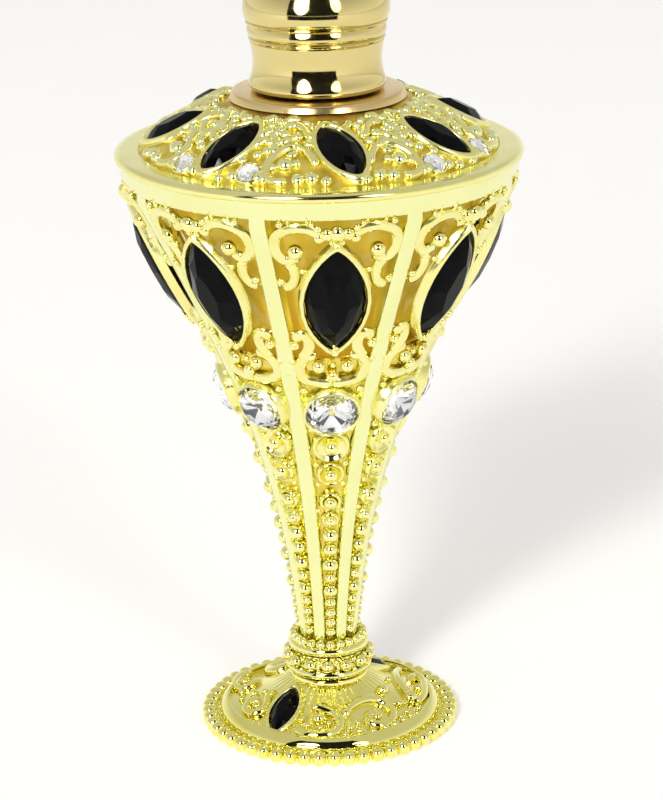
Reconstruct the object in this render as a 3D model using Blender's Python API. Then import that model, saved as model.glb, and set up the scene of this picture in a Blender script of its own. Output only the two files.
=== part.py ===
# Decorative perfume oil bottle. A cast cone of ribs, scrolls and beads stands on a cast foot and
# holds black navette stones and clear crystals. A glass vial hangs inside the cone, and a push-fit
# stopper with a glass dabber rod closes it.
# Lengths are in metres and heights run up from the table, which the foot rests on at zero.
# Azimuths are in radians from the front, which is -Y, and grow towards +X.

from math import atan, atan2, ceil, cos, hypot, pi, radians, sin, tau

import bmesh
import bpy
from mathutils import Matrix, Vector

# Fits
clearance = 0.0002  # between pieces that touch
overrun = 0.001  # how far a cutter or a buried root reaches past a surface

# Foot
foot_radius = 0.0151  # to the middle of the bead rim
foot_height = 0.0063
foot_plate_thickness = 0.0012
foot_bead_radius = 0.00078
foot_bead_pitch = 0.00178
foot_lip_radius = 0.0133
foot_lip_width = 0.0009
foot_lip_height = 0.0027
foot_floor_height = 0.0020  # where the floor meets the lip
foot_collar_radius = 0.0047
foot_collar_height = 0.0009
foot_floor_curve = 1.6  # how hollow the floor's slope is
foot_stone_azimuths = (radians(-39.5), radians(140.5))
curl_radius = 0.0018
curl_steps = 7
# Curls beside each stone: step outwards, azimuth from the stone, size against a small curl
curl_places = ((0.0007, radians(36.0), 1.0), (0.0003, radians(70.0), 1.3))

# Knop between the foot and the cone
knop_height = 0.0027
knop_disc_radius = 0.0052
knop_disc_thickness = 0.0009
knop_core_radius = 0.0046
knop_bead_radius = 0.00085
knop_bead_count = 14

# Cone
cone_height = 0.0620
cone_top_radius = 0.0236
cone_bend_height = 0.0239  # above the cone's lower end, where its outline turns outwards
cone_bend_softness = 0.0263
cone_wall = 0.0011
cone_floor_height = 0.0270  # of the vial's seat above the cone's lower end
band_height = 0.0019
skirt_radius = 0.0049
skirt_height = 0.0013
panel_count = 8
panel_turn = radians(4.7)
panel_depth = 0.0009  # of the panels below the ribs
rib_width_top = 0.0019
rib_width_bottom = 0.0013
window_reach_share = 0.90  # of the navette's half length, below its middle
wire = 0.0009  # width of the scrolls

# Ornaments on each panel, as shares of the cone's height
navette_share = 0.803
crystal_share = 0.548
cup_shares = (0.466, 0.403, 0.340, 0.297)
cup_radii = (0.00190, 0.00150, 0.00120, 0.00095)
first_bead_share = 0.0226
bead_pitch = 0.00135
bead_growth = 1.05  # from one bead's pitch to the next one's above it
bead_fill = 0.45  # radius of a bead against its pitch
fan_radius = 0.0014
fan_drop = 0.0015  # of its middle below the band
scroll_drop = 0.0060  # of the upper scrolls' lowest point below the band

# Upper scroll on a panel: shares of the panel's half width, then of the scroll's drop
upper_scroll_shares = ((0.08, 0.26), (0.60, 0.15), (0.90, 0.57), (0.76, 0.97), (0.53, 1.00), (0.46, 0.69))
# Heart scroll: shares of the panel's half width, then of the cone's height
heart_scroll_shares = ((0.98, 0.690), (0.80, 0.698), (0.71, 0.685), (0.80, 0.650), (0.40, 0.632))

# Stones: half length, half width
navette_size = (0.0075, 0.0035)
shoulder_navette_size = (0.0045, 0.0024)
foot_navette_size = (0.0033, 0.0016)
crystal_radius = 0.0030
small_crystal_radius = 0.00135
crown_share = 0.50  # crown height of a stone against its half width
pavilion_share = 0.55
bezel_height = 0.0003  # of the bezel above the stone's girdle
table_share = 0.62
bezel_wall = 0.0006
facet_angle = radians(5.0)
foot_stone_skew = radians(16.0)  # from the radial direction

# Shoulder
rim_overhang = 0.0004  # past the cone's top
rim_thickness = 0.00115
rim_width = 0.0029
shoulder_rise = 0.0056
shoulder_crown = 0.0006
shoulder_wall = 0.0011
shoulder_spigot_depth = 0.0016
shoulder_turn = radians(8.5)
# Each shoulder navette's turn from the radial direction, which differs from one to the next
shoulder_stone_skews = [radians(turn) for turn in (20.0, 22.0, 28.0, 20.0, 0.0, -20.0, -28.0, -16.0)]
# Places on the shoulder, from the flange's edge (0) to the rim (1)
shoulder_stone_share = 0.579
shoulder_crystal_share = 0.875
oval_share = 0.673
shoulder_crystal_spread = radians(13.2)
shoulder_bead_radius = 0.0006
oval_radius = 0.00185
oval_azimuth = radians(19.0)

# Neck and cap
flange_radius = 0.0104
flange_thickness = 0.0009
collar_height = 0.0050
collar_wall = 0.0004
neck_radius = 0.0056
neck_wall = 0.0012
lip_height = 0.0012
cap_bore_radius = 0.00645
cap_bore_height = 0.0085
cap_height = 0.0208
finial_height = 0.0072
finial_radius = 0.0030
finial_pin_radius = 0.0011
finial_pin_length = 0.0030
washer_thickness = 0.0007

# Vial and stopper
vial_inset = 0.0036  # from the ribs' outline to the glass
vial_wall = 0.0012
vial_base = 0.0018
vial_shoulder_height = 0.0052
plug_length = 0.0068
plug_flange_thickness = 0.0010
rod_radius = 0.0009
rod_tip_radius = 0.0013
rod_reach_share = 0.62  # of the way from the vial's lip to its floor

# Screw
screw_radius = 0.0015
screw_head_radius = 0.0027
screw_head_height = 0.0013
screw_recess = 0.0004
screw_reach = 0.0090  # into the cone

# Facets round a full turn
wide_sides = 28
mid_sides = 24
glass_sides = 16
small_sides = 12
bead_sides = 5

# Levels that follow from the sizes above
knop_bottom = foot_height + clearance
knop_top = knop_bottom + knop_height
cone_bottom = knop_top + clearance
cone_top = cone_bottom + cone_height
band_bottom = cone_top - band_height
rim_bottom = cone_top + clearance
rim_top = rim_bottom + rim_thickness
shoulder_inner_top = rim_top + shoulder_rise
flange_bottom = shoulder_inner_top + clearance
flange_top = flange_bottom + flange_thickness
collar_top = flange_top + collar_height
lip_bottom = collar_top + clearance
lip_top = lip_bottom + lip_height
washer_bottom = lip_top + clearance
plug_flange_bottom = washer_bottom + washer_thickness + clearance
plug_flange_top = plug_flange_bottom + plug_flange_thickness
cap_bottom = flange_top + clearance
cap_ceiling = max(cap_bottom + cap_bore_height, plug_flange_top + clearance)
cap_top = cap_bottom + cap_height
vial_bottom = cone_bottom + cone_floor_height + clearance
vial_floor = vial_bottom + vial_base

# Widths that follow
rim_radius = cone_top_radius + rim_overhang
rim_inner = rim_radius - rim_width
bore_radius = neck_radius - neck_wall
collar_bore = neck_radius + clearance
collar_radius = collar_bore + collar_wall
plug_radius = bore_radius - clearance
plug_bore = rod_radius + clearance
half_panel = pi / panel_count


def cone_bend(z):
    return z - cone_bottom - cone_bend_height


def cone_shape(z):
    return cone_bend(z) + hypot(cone_bend(z), cone_bend_softness)


def cone_radius(z):
    # A branch of a hyperbola: upright at the stem, straight and leaning out at the top.
    return cone_top_radius * cone_shape(z) / cone_shape(band_bottom)


def cone_lean(z):
    rate = 1 + cone_bend(z) / hypot(cone_bend(z), cone_bend_softness)
    return atan(rate * cone_top_radius / cone_shape(band_bottom))


def cone_level(share):
    return cone_bottom + share * cone_height


def shoulder_level(radius):
    # Straight slope from the rim's inner edge to the flange, with a slight crown.
    way = (rim_inner - radius) / (rim_inner - flange_radius)
    return rim_top + shoulder_rise * way + shoulder_crown * sin(pi * min(max(way, 0), 1))


def shoulder_place(share):
    return flange_radius + (rim_inner - flange_radius) * share


def floor_level(radius):
    lip_inner = foot_lip_radius - foot_lip_width
    way = min(max((lip_inner - radius) / (lip_inner - foot_collar_radius), 0), 1)
    rise = foot_height - foot_collar_height - foot_floor_height
    return foot_floor_height + rise * way**foot_floor_curve


def slope_of(level, radius):
    # Angle of the surface's outward normal above the horizontal.
    step = clearance
    fall = level(radius - step) - level(radius + step)
    return atan2(step + step, fall)


def round_about(azimuth, radius, z):
    return Vector((radius * sin(azimuth), -radius * cos(azimuth), z))


def seat(azimuth, radius, z, rise, lift):
    # Local x runs across the surface, y up along it and z out of it.
    across = Vector((cos(azimuth), sin(azimuth), 0))
    radial = Vector((sin(azimuth), -cos(azimuth), 0))
    out = radial * cos(rise) + Vector((0, 0, sin(rise)))
    up = Vector((0, 0, cos(rise))) - radial * sin(rise)
    place = round_about(azimuth, radius, z) + out * lift
    frame = Matrix((across, up, out)).transposed().to_4x4()
    frame.translation = place
    return frame


def cone_seat(azimuth, z, lift):
    return seat(azimuth, cone_radius(z), z, -cone_lean(z), lift)


def shoulder_seat(azimuth, radius, lift):
    return seat(azimuth, radius, shoulder_level(radius), slope_of(shoulder_level, radius), lift)


def foot_seat(azimuth, radius, lift):
    return seat(azimuth, radius, floor_level(radius), slope_of(floor_level, radius), lift)


def on_cone(azimuth, across, z, lift):
    radius = cone_radius(z)
    return round_about(azimuth + across / radius, radius + lift, z)


def finish(name, colour, metallic, roughness, transmission=0):
    material = bpy.data.materials.new(name)
    material.use_nodes = True
    shader = material.node_tree.nodes["Principled BSDF"]
    shader.inputs["Base Color"].default_value = (*colour, 1)
    shader.inputs["Metallic"].default_value = metallic
    shader.inputs["Roughness"].default_value = roughness
    shader.inputs["Transmission Weight"].default_value = transmission
    material.diffuse_color = (*colour, 1)
    return material


gold = finish("bright gold", (0.86, 0.78, 0.26), 1, 0.18)
champagne = finish("champagne aluminium", (0.80, 0.62, 0.40), 1, 0.2)
jet = finish("black glass", (0.008, 0.008, 0.009), 0, 0.05)
clear = finish("clear crystal", (0.95, 0.96, 0.97), 0, 0.02, 1)
vial_glass = finish("vial glass", (0.93, 0.95, 0.93), 0, 0.03, 1)
plastic = finish("white plastic", (0.85, 0.84, 0.80), 0, 0.4)
rubber = finish("washer foam", (0.75, 0.74, 0.70), 0, 0.8)
steel = finish("screw steel", (0.60, 0.60, 0.61), 1, 0.35)


def solid(name, loops, ring=False):
    """Mesh of a solid whose skin runs through loops of equal length. Ends are capped, or joined in a ring."""
    size = len(loops[0])
    points = [point for loop in loops for point in loop]
    faces = []
    last = len(loops) if ring else len(loops) - 1
    for row in range(last):
        near = row * size
        far = (row + 1) % len(loops) * size
        for k in range(size):
            step = (k + 1) % size
            faces.append((near + k, near + step, far + step, far + k))
    if not ring:
        faces.append(tuple(range(size)))
        faces.append(tuple(range(len(points) - size, len(points))))
    mesh = bpy.data.meshes.new(name)
    mesh.from_pydata([tuple(point) for point in points], [], faces)
    work = bmesh.new()
    work.from_mesh(mesh)
    bmesh.ops.recalc_face_normals(work, faces=work.faces)
    if work.calc_volume(signed=True) < 0:
        bmesh.ops.reverse_faces(work, faces=work.faces)
    work.to_mesh(mesh)
    work.free()
    return mesh


def smoothed(mesh, angle=radians(35.0)):
    mesh.shade_smooth()
    mesh.set_sharp_from_angle(angle=angle)
    return mesh


def piece(name, mesh, material, frame=None):
    made = bpy.data.objects.new(name, mesh)
    if not mesh.materials:
        mesh.materials.append(material)
    if frame:
        made.matrix_world = frame
    bpy.context.scene.collection.objects.link(made)
    return made


def guides(name):
    group = bpy.data.collections.new(name)
    bpy.context.scene.collection.children.link(group)
    return group


def guide(group, mesh, frame=None):
    made = bpy.data.objects.new(group.name + " guide", mesh)
    if frame:
        made.matrix_world = frame
    made.hide_render = True
    made.display_type = "WIRE"
    group.objects.link(made)
    return made


def combine(target, group, operation):
    modifier = target.modifiers.new(group.name, "BOOLEAN")
    modifier.operation = operation
    modifier.operand_type = "COLLECTION"
    modifier.collection = group
    modifier.solver = "EXACT"


def circle(radius, z, sides):
    return [round_about(tau * k / sides, radius, z) for k in range(sides)]


def turned(name, outline, sides, ring=False):
    return solid(name, [circle(radius, z, sides) for radius, z in outline], ring)


def bead_mesh(name, radius):
    # A small bead with few facets, its poles on local z.
    mesh = bpy.data.meshes.new(name)
    work = bmesh.new()
    bmesh.ops.create_uvsphere(work, u_segments=bead_sides, v_segments=2, radius=radius)
    work.to_mesh(mesh)
    work.free()
    return mesh


def navette(half_length, half_width, z, arc_steps=4):
    # Two arcs that meet in points at the ends of local y.
    bow = (half_length**2 + half_width**2) / (half_width + half_width)
    reach = atan2(half_length, bow - half_width)
    right = []
    for k in range(arc_steps):
        angle = -reach + (reach + reach) * k / arc_steps
        right.append(Vector((bow * cos(angle) - bow + half_width, bow * sin(angle), z)))
    return right + [Vector((-point.x, -point.y, point.z)) for point in right]


def ellipse(half_length, half_width, z, sides=8):
    turn = [tau * (k + 1 / 2) / sides for k in range(sides)]
    return [Vector((half_width * cos(a), half_length * sin(a), z)) for a in turn]


def stone(name, outline, half_length, half_width):
    # Girdle at local zero, crown and table above it, pavilion below.
    crown = crown_share * half_width
    depth = pavilion_share * half_width
    point_share = table_share / 2
    loops = [
        outline(half_length * point_share, half_width * point_share, -depth),
        outline(half_length, half_width, 0),
        outline(half_length * table_share, half_width * table_share, crown),
    ]
    return smoothed(solid(name, loops), facet_angle)


def setting(name, outline, half_length, half_width):
    """Boss that carries a stone, and the pocket that is cut in it, a clearance larger than the stone."""
    depth = pavilion_share * half_width + clearance
    inner = (half_length + clearance, half_width + clearance)
    outer = (inner[0] + bezel_wall, inner[1] + bezel_wall)
    boss = [outline(*outer, -depth - bezel_wall), outline(*outer, bezel_height)]
    pocket = [outline(*inner, -depth), outline(*inner, bezel_height + overrun)]
    return solid(name + " boss", boss), solid(name + " pocket", pocket)


def tube(name, path, width, sides=3):
    """Bar along a path, with its section square to the path. Path points come with their outward normals."""
    loops = []
    for k, (point, out) in enumerate(path):
        ahead = path[min(k + 1, len(path) - 1)][0]
        behind = path[max(k - 1, 0)][0]
        along = (ahead - behind).normalized()
        side = along.cross(out).normalized()
        turns = [tau * j / sides + pi / 2 for j in range(sides)]
        radius = width / 2 / cos(pi / sides / 2)
        loops.append([point + radius * (cos(a) * side + sin(a) * out) for a in turns])
    return solid(name, loops)


def band_level(share):
    return band_bottom - scroll_drop * share


def panel_drop(z):
    # Depth of the panel's floor below the ribs, which is less on the thin stem.
    return min(panel_depth, cone_radius(z) / 6)


def cone_path(azimuth, mirrored, shares, level, lift):
    path = []
    for across_share, height_share in shares:
        z = level(height_share)
        half_width = cone_radius(z) * half_panel - rib_width_top / 2
        across = across_share * half_width * mirrored
        turn = azimuth + across / cone_radius(z)
        out = cone_seat(turn, z, 0).col[2].to_3d()
        path.append((on_cone(azimuth, across, z, lift), out))
    return path


def panel_azimuths():
    return [panel_turn + tau * k / panel_count for k in range(panel_count)]


def make_foot():
    lip_outer = foot_lip_radius
    lip_inner = foot_lip_radius - foot_lip_width
    hole = screw_radius + clearance
    head_hole = screw_head_radius + clearance
    head_top = screw_recess + screw_head_height + clearance
    collar_bottom = foot_height - foot_collar_height
    plate_edge = foot_radius - foot_bead_radius / 2
    plate_top = foot_plate_thickness
    bevel = foot_collar_height / 4
    neck = foot_collar_radius - bevel
    outline = [
        (head_hole, 0),
        (foot_radius, 0),
        (foot_radius + foot_bead_radius / 2, bevel),
        (plate_edge, plate_top),
        (lip_outer + bevel, plate_top),
        (lip_outer, foot_lip_height - bevel),
        (lip_outer - bevel, foot_lip_height),
        (lip_inner + bevel, foot_lip_height),
        (lip_inner, floor_level(lip_inner)),
    ]
    floor_steps = 3
    for k in range(1, floor_steps + 1):
        radius = lip_inner + (neck - lip_inner) * k / floor_steps
        outline.append((radius, floor_level(radius)))
    outline += [
        (foot_collar_radius, collar_bottom + bevel),
        (foot_collar_radius, foot_height - bevel),
        (neck, foot_height),
        (hole, foot_height),
        (hole, head_top),
        (head_hole, head_top),
    ]
    foot = piece("foot", smoothed(turned("foot", outline, wide_sides, ring=True)), gold)
    ornaments = guides("foot ornaments")
    bead = bead_mesh("foot bead", foot_bead_radius)
    count = ceil(tau * foot_radius / foot_bead_pitch)
    for k in range(count):
        place = round_about(tau * k / count, foot_radius, foot_plate_thickness)
        guide(ornaments, bead, Matrix.Translation(place) @ Matrix.Rotation(tau * k / count, 4, "Z"))
    pockets = guides("foot pockets")
    boss, pocket = setting("foot", navette, *foot_navette_size)
    middle = (lip_inner + foot_collar_radius) / 2
    lift = foot_navette_size[1] * pavilion_share / 2
    skew = Matrix.Rotation(foot_stone_skew, 4, "Z")
    jewel = stone("foot stone", navette, *foot_navette_size)
    for number, azimuth in enumerate(foot_stone_azimuths, 1):
        place = foot_seat(azimuth, middle, lift) @ skew
        guide(ornaments, boss, place)
        guide(pockets, pocket, place)
        piece(f"foot_stone_{number}", jewel, jet, place)
        for side in (-1, 1):
            for place, spread, share in curl_places:
                path = curl_path(azimuth + side * spread, middle + place, side, share)
                guide(ornaments, tube("foot curl", path, wire))
    combine(foot, ornaments, "UNION")
    combine(foot, pockets, "DIFFERENCE")


def curl_path(azimuth, radius, side, share):
    path = []
    for k in range(curl_steps):
        way = k / (curl_steps - 1)
        reach = curl_radius * share * (1 - way / 2)
        turn = side * tau * way * 5 / 6
        here = radius + reach * cos(turn)
        angle = azimuth + reach * sin(turn) / radius
        frame = foot_seat(angle, here, wire / 8)
        path.append((frame.translation, frame.col[2].to_3d()))
    return path


def make_knop():
    hole = screw_radius + clearance
    edge = knop_disc_thickness / 4
    disc_top = knop_bottom + knop_disc_thickness
    outline = [
        (hole, knop_bottom),
        (knop_disc_radius - edge, knop_bottom),
        (knop_disc_radius, knop_bottom + edge),
        (knop_disc_radius, disc_top - edge),
        (knop_disc_radius - edge, disc_top),
        (knop_core_radius, disc_top),
        (knop_core_radius, knop_top),
        (hole, knop_top),
    ]
    knop = piece("stem_knop", smoothed(turned("stem_knop", outline, mid_sides, ring=True)), gold)
    ornaments = guides("knop ornaments")
    bead = bead_mesh("knop bead", knop_bead_radius)
    for k in range(knop_bead_count):
        place = round_about(tau * k / knop_bead_count, knop_core_radius, (disc_top + knop_top) / 2)
        guide(ornaments, bead, Matrix.Translation(place))
    combine(knop, ornaments, "UNION")


def rib_mesh():
    """One rib along the cone at azimuth zero, as deep as the panel and the wall together."""
    loops = []
    steps = 5
    low = cone_bottom + skirt_height / 2
    for k in range(steps + 1):
        z = low + (band_bottom + band_height / 2 - low) * k / steps
        width = rib_width_bottom + (rib_width_top - rib_width_bottom) * k / steps
        outer = min(cone_radius(z), cone_top_radius)
        inner = outer - min(panel_depth + cone_wall / 2, outer / 2)
        spread = width / 2
        loops.append([
            Vector((-spread, -inner, z)),
            Vector((spread, -inner, z)),
            Vector((spread, -outer, z)),
            Vector((-spread, -outer, z)),
        ])
    return solid("rib", loops)


def window_mesh():
    """Cutter for the open upper part of a panel at azimuth zero."""
    loops = []
    steps = 3
    low = cone_level(navette_share) - navette_size[0] * window_reach_share
    for k in range(steps + 1):
        z = low + (band_bottom - low) * k / steps
        radius = cone_radius(z)
        spread = radius * sin(half_panel) - rib_width_bottom / 2
        inner = radius * cos(half_panel) - panel_depth - cone_wall - overrun
        outer = radius + overrun
        loops.append([
            Vector((-spread, -inner, z)),
            Vector((spread, -inner, z)),
            Vector((spread, -outer, z)),
            Vector((-spread, -outer, z)),
        ])
    return solid("window", loops)


def cup_mesh(radius):
    # A raised ring drawn as one low drum, with a dome in the middle.
    sides = 6
    root = -panel_depth - cone_wall / 2
    loops = [
        round_outline(radius, root, sides),
        round_outline(radius, -panel_depth / 3, sides),
        round_outline(radius / 2, panel_depth / 3, sides),
    ]
    return solid("cup", loops)


def round_outline(radius, z, sides):
    turn = [tau * (k + 1 / 2) / sides for k in range(sides)]
    return [Vector((radius * cos(a), radius * sin(a), z)) for a in turn]


def make_cone():
    hole = screw_radius + clearance
    hole_top = cone_bottom + screw_reach + clearance
    floor = cone_bottom + cone_floor_height
    inner_steps = 4
    outline = []
    for k in range(inner_steps + 1):
        z = floor + (band_bottom - floor) * k / inner_steps
        outline.append((cone_radius(z) - panel_depth - cone_wall, z))
    outline += [(outline[-1][0], cone_top), (cone_top_radius, cone_top), (cone_top_radius, band_bottom)]
    outer_steps = 7
    low = cone_bottom + skirt_height
    for k in range(outer_steps + 1):
        z = band_bottom + (low - band_bottom) * k / outer_steps
        outline.append((cone_radius(z) - panel_drop(z), z - clearance * (k == 0)))
    outline += [(skirt_radius, cone_bottom), (hole, cone_bottom), (hole, hole_top)]
    shell = piece("body_shell", smoothed(turned("body_shell", outline, mid_sides)), gold)

    windows = guides("windows")
    ornaments = guides("cone ornaments")
    window = window_mesh()
    rib = rib_mesh()
    pockets = guides("cone pockets")
    navette_boss, navette_pocket = setting("navette", navette, *navette_size)
    round_boss, round_pocket = setting("crystal", ellipse, crystal_radius, crystal_radius)
    cups = [cup_mesh(radius) for radius in cup_radii]
    fan = bead_mesh("fan", fan_radius)
    jewel = stone("navette stone", navette, *navette_size)
    brilliant = stone("crystal", ellipse, crystal_radius, crystal_radius)
    beads = bead_meshes()
    scrolls = (
        (upper_scroll_shares, band_level, -wire / 2),
        (heart_scroll_shares, cone_level, -panel_depth * 5 / 6),
    )
    for number, azimuth in enumerate(panel_azimuths(), 1):
        turn = Matrix.Rotation(azimuth, 4, "Z")
        guide(windows, window, turn)
        guide(ornaments, rib, turn @ Matrix.Rotation(half_panel, 4, "Z"))
        place = cone_seat(azimuth, cone_level(navette_share), bezel_height)
        guide(ornaments, navette_boss, place)
        guide(pockets, navette_pocket, place)
        piece(f"body_stone_{number}", jewel, jet, place)
        place = cone_seat(azimuth, cone_level(crystal_share), bezel_height)
        guide(ornaments, round_boss, place)
        guide(pockets, round_pocket, place)
        piece(f"body_crystal_{number}", brilliant, clear, place)
        guide(ornaments, fan, cone_seat(azimuth, band_bottom - fan_drop, -fan_radius / 2))
        for share, cup in zip(cup_shares, cups):
            guide(ornaments, cup, cone_seat(azimuth, cone_level(share), 0))
        for z, radius, bead in beads:
            guide(ornaments, bead, cone_seat(azimuth, z, radius / 2 - panel_drop(z)))
        for side in (-1, 1):
            for shares, level, lift in scrolls:
                path = cone_path(azimuth, side, shares, level, lift)
                guide(ornaments, tube("scroll", path, wire))
    combine(shell, windows, "DIFFERENCE")
    combine(shell, ornaments, "UNION")
    combine(shell, pockets, "DIFFERENCE")


def bead_meshes():
    """Heights, radii and meshes of the beads that run up each panel, growing as they go."""
    made = []
    z = cone_level(first_bead_share)
    pitch = bead_pitch
    end = cone_level(cup_shares[-1]) - cup_radii[-1]
    while z + bead_fill * pitch < end:
        made.append((z, bead_fill * pitch, bead_mesh("panel bead", bead_fill * pitch)))
        z += pitch
        pitch *= bead_growth
    return made


def make_shoulder():
    edge = rim_thickness / 3
    inner_radius = collar_radius + clearance
    spigot = cone_top_radius - panel_depth - cone_wall - clearance
    seam = cone_top_radius
    top = shoulder_inner_top
    outline = [
        (seam, rim_bottom),
        (rim_radius, rim_bottom + edge),
        (rim_radius - edge / 4, rim_top - edge),
        (rim_radius - edge, rim_top),
    ]
    steps = 4
    for k in range(steps + 1):
        radius = rim_inner + (flange_radius - rim_inner) * k / steps
        outline.append((radius, shoulder_level(radius)))
    outline += [(inner_radius, top), (inner_radius, top - shoulder_wall)]
    for k in (1, 0):
        radius = rim_inner + (flange_radius - rim_inner) * k
        outline.append((radius - shoulder_wall, shoulder_level(radius) - shoulder_wall))
    low = rim_bottom - shoulder_spigot_depth
    outline += [(spigot - shoulder_wall, low), (spigot, low), (spigot, rim_bottom)]
    shoulder = piece("shoulder", smoothed(turned("shoulder", outline, wide_sides, ring=True)), gold)

    ornaments = guides("shoulder ornaments")
    pockets = guides("shoulder pockets")
    boss, pocket = setting("shoulder", navette, *shoulder_navette_size)
    small_boss, small_pocket = setting("small", ellipse, small_crystal_radius, small_crystal_radius)
    jewel = stone("shoulder stone", navette, *shoulder_navette_size)
    brilliant = stone("small crystal", ellipse, small_crystal_radius, small_crystal_radius)
    bead = bead_mesh("shoulder bead", shoulder_bead_radius)
    lift = shoulder_navette_size[1] * crown_share / 6
    small_lift = small_crystal_radius * crown_share / 3
    crystals = 0
    for k in range(panel_count):
        azimuth = shoulder_turn + tau * k / panel_count
        skew = Matrix.Rotation(shoulder_stone_skews[k], 4, "Z")
        place = shoulder_seat(azimuth, shoulder_place(shoulder_stone_share), lift) @ skew
        guide(ornaments, boss, place)
        guide(pockets, pocket, place)
        piece(f"shoulder_stone_{k + 1}", jewel, jet, place)
        for side in (-1, 1):
            if k % 2:
                crystals += 1
                turn = azimuth + side * shoulder_crystal_spread
                place = shoulder_seat(turn, shoulder_place(shoulder_crystal_share), small_lift)
                guide(ornaments, small_boss, place)
                guide(pockets, small_pocket, place)
                piece(f"shoulder_crystal_{crystals}", brilliant, clear, place)
            else:
                turn = azimuth + side * oval_azimuth
                guide(ornaments, oval_mesh(turn))
                guide(ornaments, bead, shoulder_seat(turn, shoulder_place(oval_share), 0))
    combine(shoulder, ornaments, "UNION")
    combine(shoulder, pockets, "DIFFERENCE")


def oval_mesh(azimuth):
    loops = []
    steps = 8
    middle = shoulder_place(oval_share)
    for k in range(steps):
        angle = tau * k / steps
        here = middle + oval_radius * sin(angle)
        turn = azimuth + oval_radius * cos(angle) * 5 / 4 / middle
        frame = shoulder_seat(turn, here, 0)
        out = frame.col[2].to_3d()
        side = (cos(angle) * frame.col[0].to_3d() - sin(angle) * frame.col[1].to_3d()).normalized()
        corners = [(-1, -1), (1, -1), (1, 1), (-1, 1)]
        loops.append([frame.translation + wire / 2 * (a * side + b * out) for a, b in corners])
    return solid("oval", loops, ring=True)


def make_flange():
    edge = flange_thickness / 4
    outline = [
        (collar_bore, flange_bottom),
        (flange_radius - edge, flange_bottom),
        (flange_radius, flange_bottom + edge),
        (flange_radius, flange_top - edge),
        (flange_radius - edge, flange_top),
        (collar_radius, flange_top),
        (collar_radius, collar_top),
        (collar_bore, collar_top),
    ]
    piece("neck_flange", smoothed(turned("neck_flange", outline, mid_sides, ring=True)), champagne)


def make_vial():
    outline = []
    steps = 4
    shoulder_low = flange_bottom - shoulder_wall - clearance - vial_shoulder_height
    shoulder_low = min(shoulder_low, rim_bottom - shoulder_spigot_depth - vial_wall)
    for k in range(steps + 1):
        z = vial_bottom + (shoulder_low - vial_bottom) * k / steps
        outline.append((cone_radius(z) - vial_inset, z))
    wide = outline[-1][0]
    dome_top = shoulder_low + vial_shoulder_height
    bend = 3
    for k in range(1, bend):
        angle = pi / 2 * k / bend
        radius = neck_radius + (wide - neck_radius) * cos(angle)
        outline.append((radius, shoulder_low + vial_shoulder_height * sin(angle)))
    outline.append((neck_radius, dome_top))
    lip_radius = collar_radius - collar_wall / 2
    outline += [(neck_radius, lip_bottom), (lip_radius, lip_bottom), (lip_radius, lip_top)]
    outline += [(bore_radius, lip_top), (bore_radius, dome_top - vial_wall)]
    for k in range(bend - 1, 0, -1):
        angle = pi / 2 * k / bend
        radius = bore_radius + (wide - vial_wall - bore_radius) * cos(angle)
        outline.append((radius, shoulder_low + (vial_shoulder_height - vial_wall) * sin(angle)))
    for k in range(steps, -1, -1):
        z = vial_floor + (shoulder_low - vial_floor) * k / steps
        outline.append((cone_radius(z) - vial_inset - vial_wall, z))
    piece("glass_vial", smoothed(turned("glass_vial", outline, glass_sides)), vial_glass)


# Cap outline: shares of the flange's radius, then of the cap's height
cap_outline_shares = (
    (0.745, 0.000), (0.753, 0.040), (0.714, 0.080), (0.689, 0.135), (0.691, 0.187),
    (0.714, 0.270), (0.766, 0.350), (0.802, 0.427), (0.840, 0.560), (0.828, 0.660),
    (0.750, 0.770), (0.590, 0.865), (0.330, 0.950), (0.330, 1.000),
)


def make_cap():
    pin_hole = finial_pin_radius + clearance
    pin_floor = cap_top - finial_pin_length - clearance
    outline = [(cap_bore_radius, cap_ceiling), (cap_bore_radius, cap_bottom)]
    for radius_share, height_share in cap_outline_shares:
        outline.append((flange_radius * radius_share, cap_bottom + cap_height * height_share))
    outline += [(pin_hole, cap_top), (pin_hole, pin_floor)]
    piece("cap_shell", smoothed(turned("cap_shell", outline, mid_sides)), champagne)

    low = cap_top + clearance
    ball_middle = low + finial_height / 2
    profile = [
        (finial_pin_radius, low - finial_pin_length),
        (finial_pin_radius, low),
        (finial_radius * 2 / 3, low),
        (finial_radius * 3 / 5, low + finial_height / 10),
    ]
    ball_steps = 6
    ball_height = finial_height * 2 / 5
    for k in range(1, ball_steps):
        angle = pi * k / ball_steps - pi / 2
        profile.append((finial_radius * cos(angle), ball_middle + ball_height * sin(angle)))
    tip = finial_radius / 4
    profile += [(tip, low + finial_height - tip), (tip / 2, low + finial_height)]
    piece("cap_finial", smoothed(turned("cap_finial", profile, small_sides)), champagne)


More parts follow.
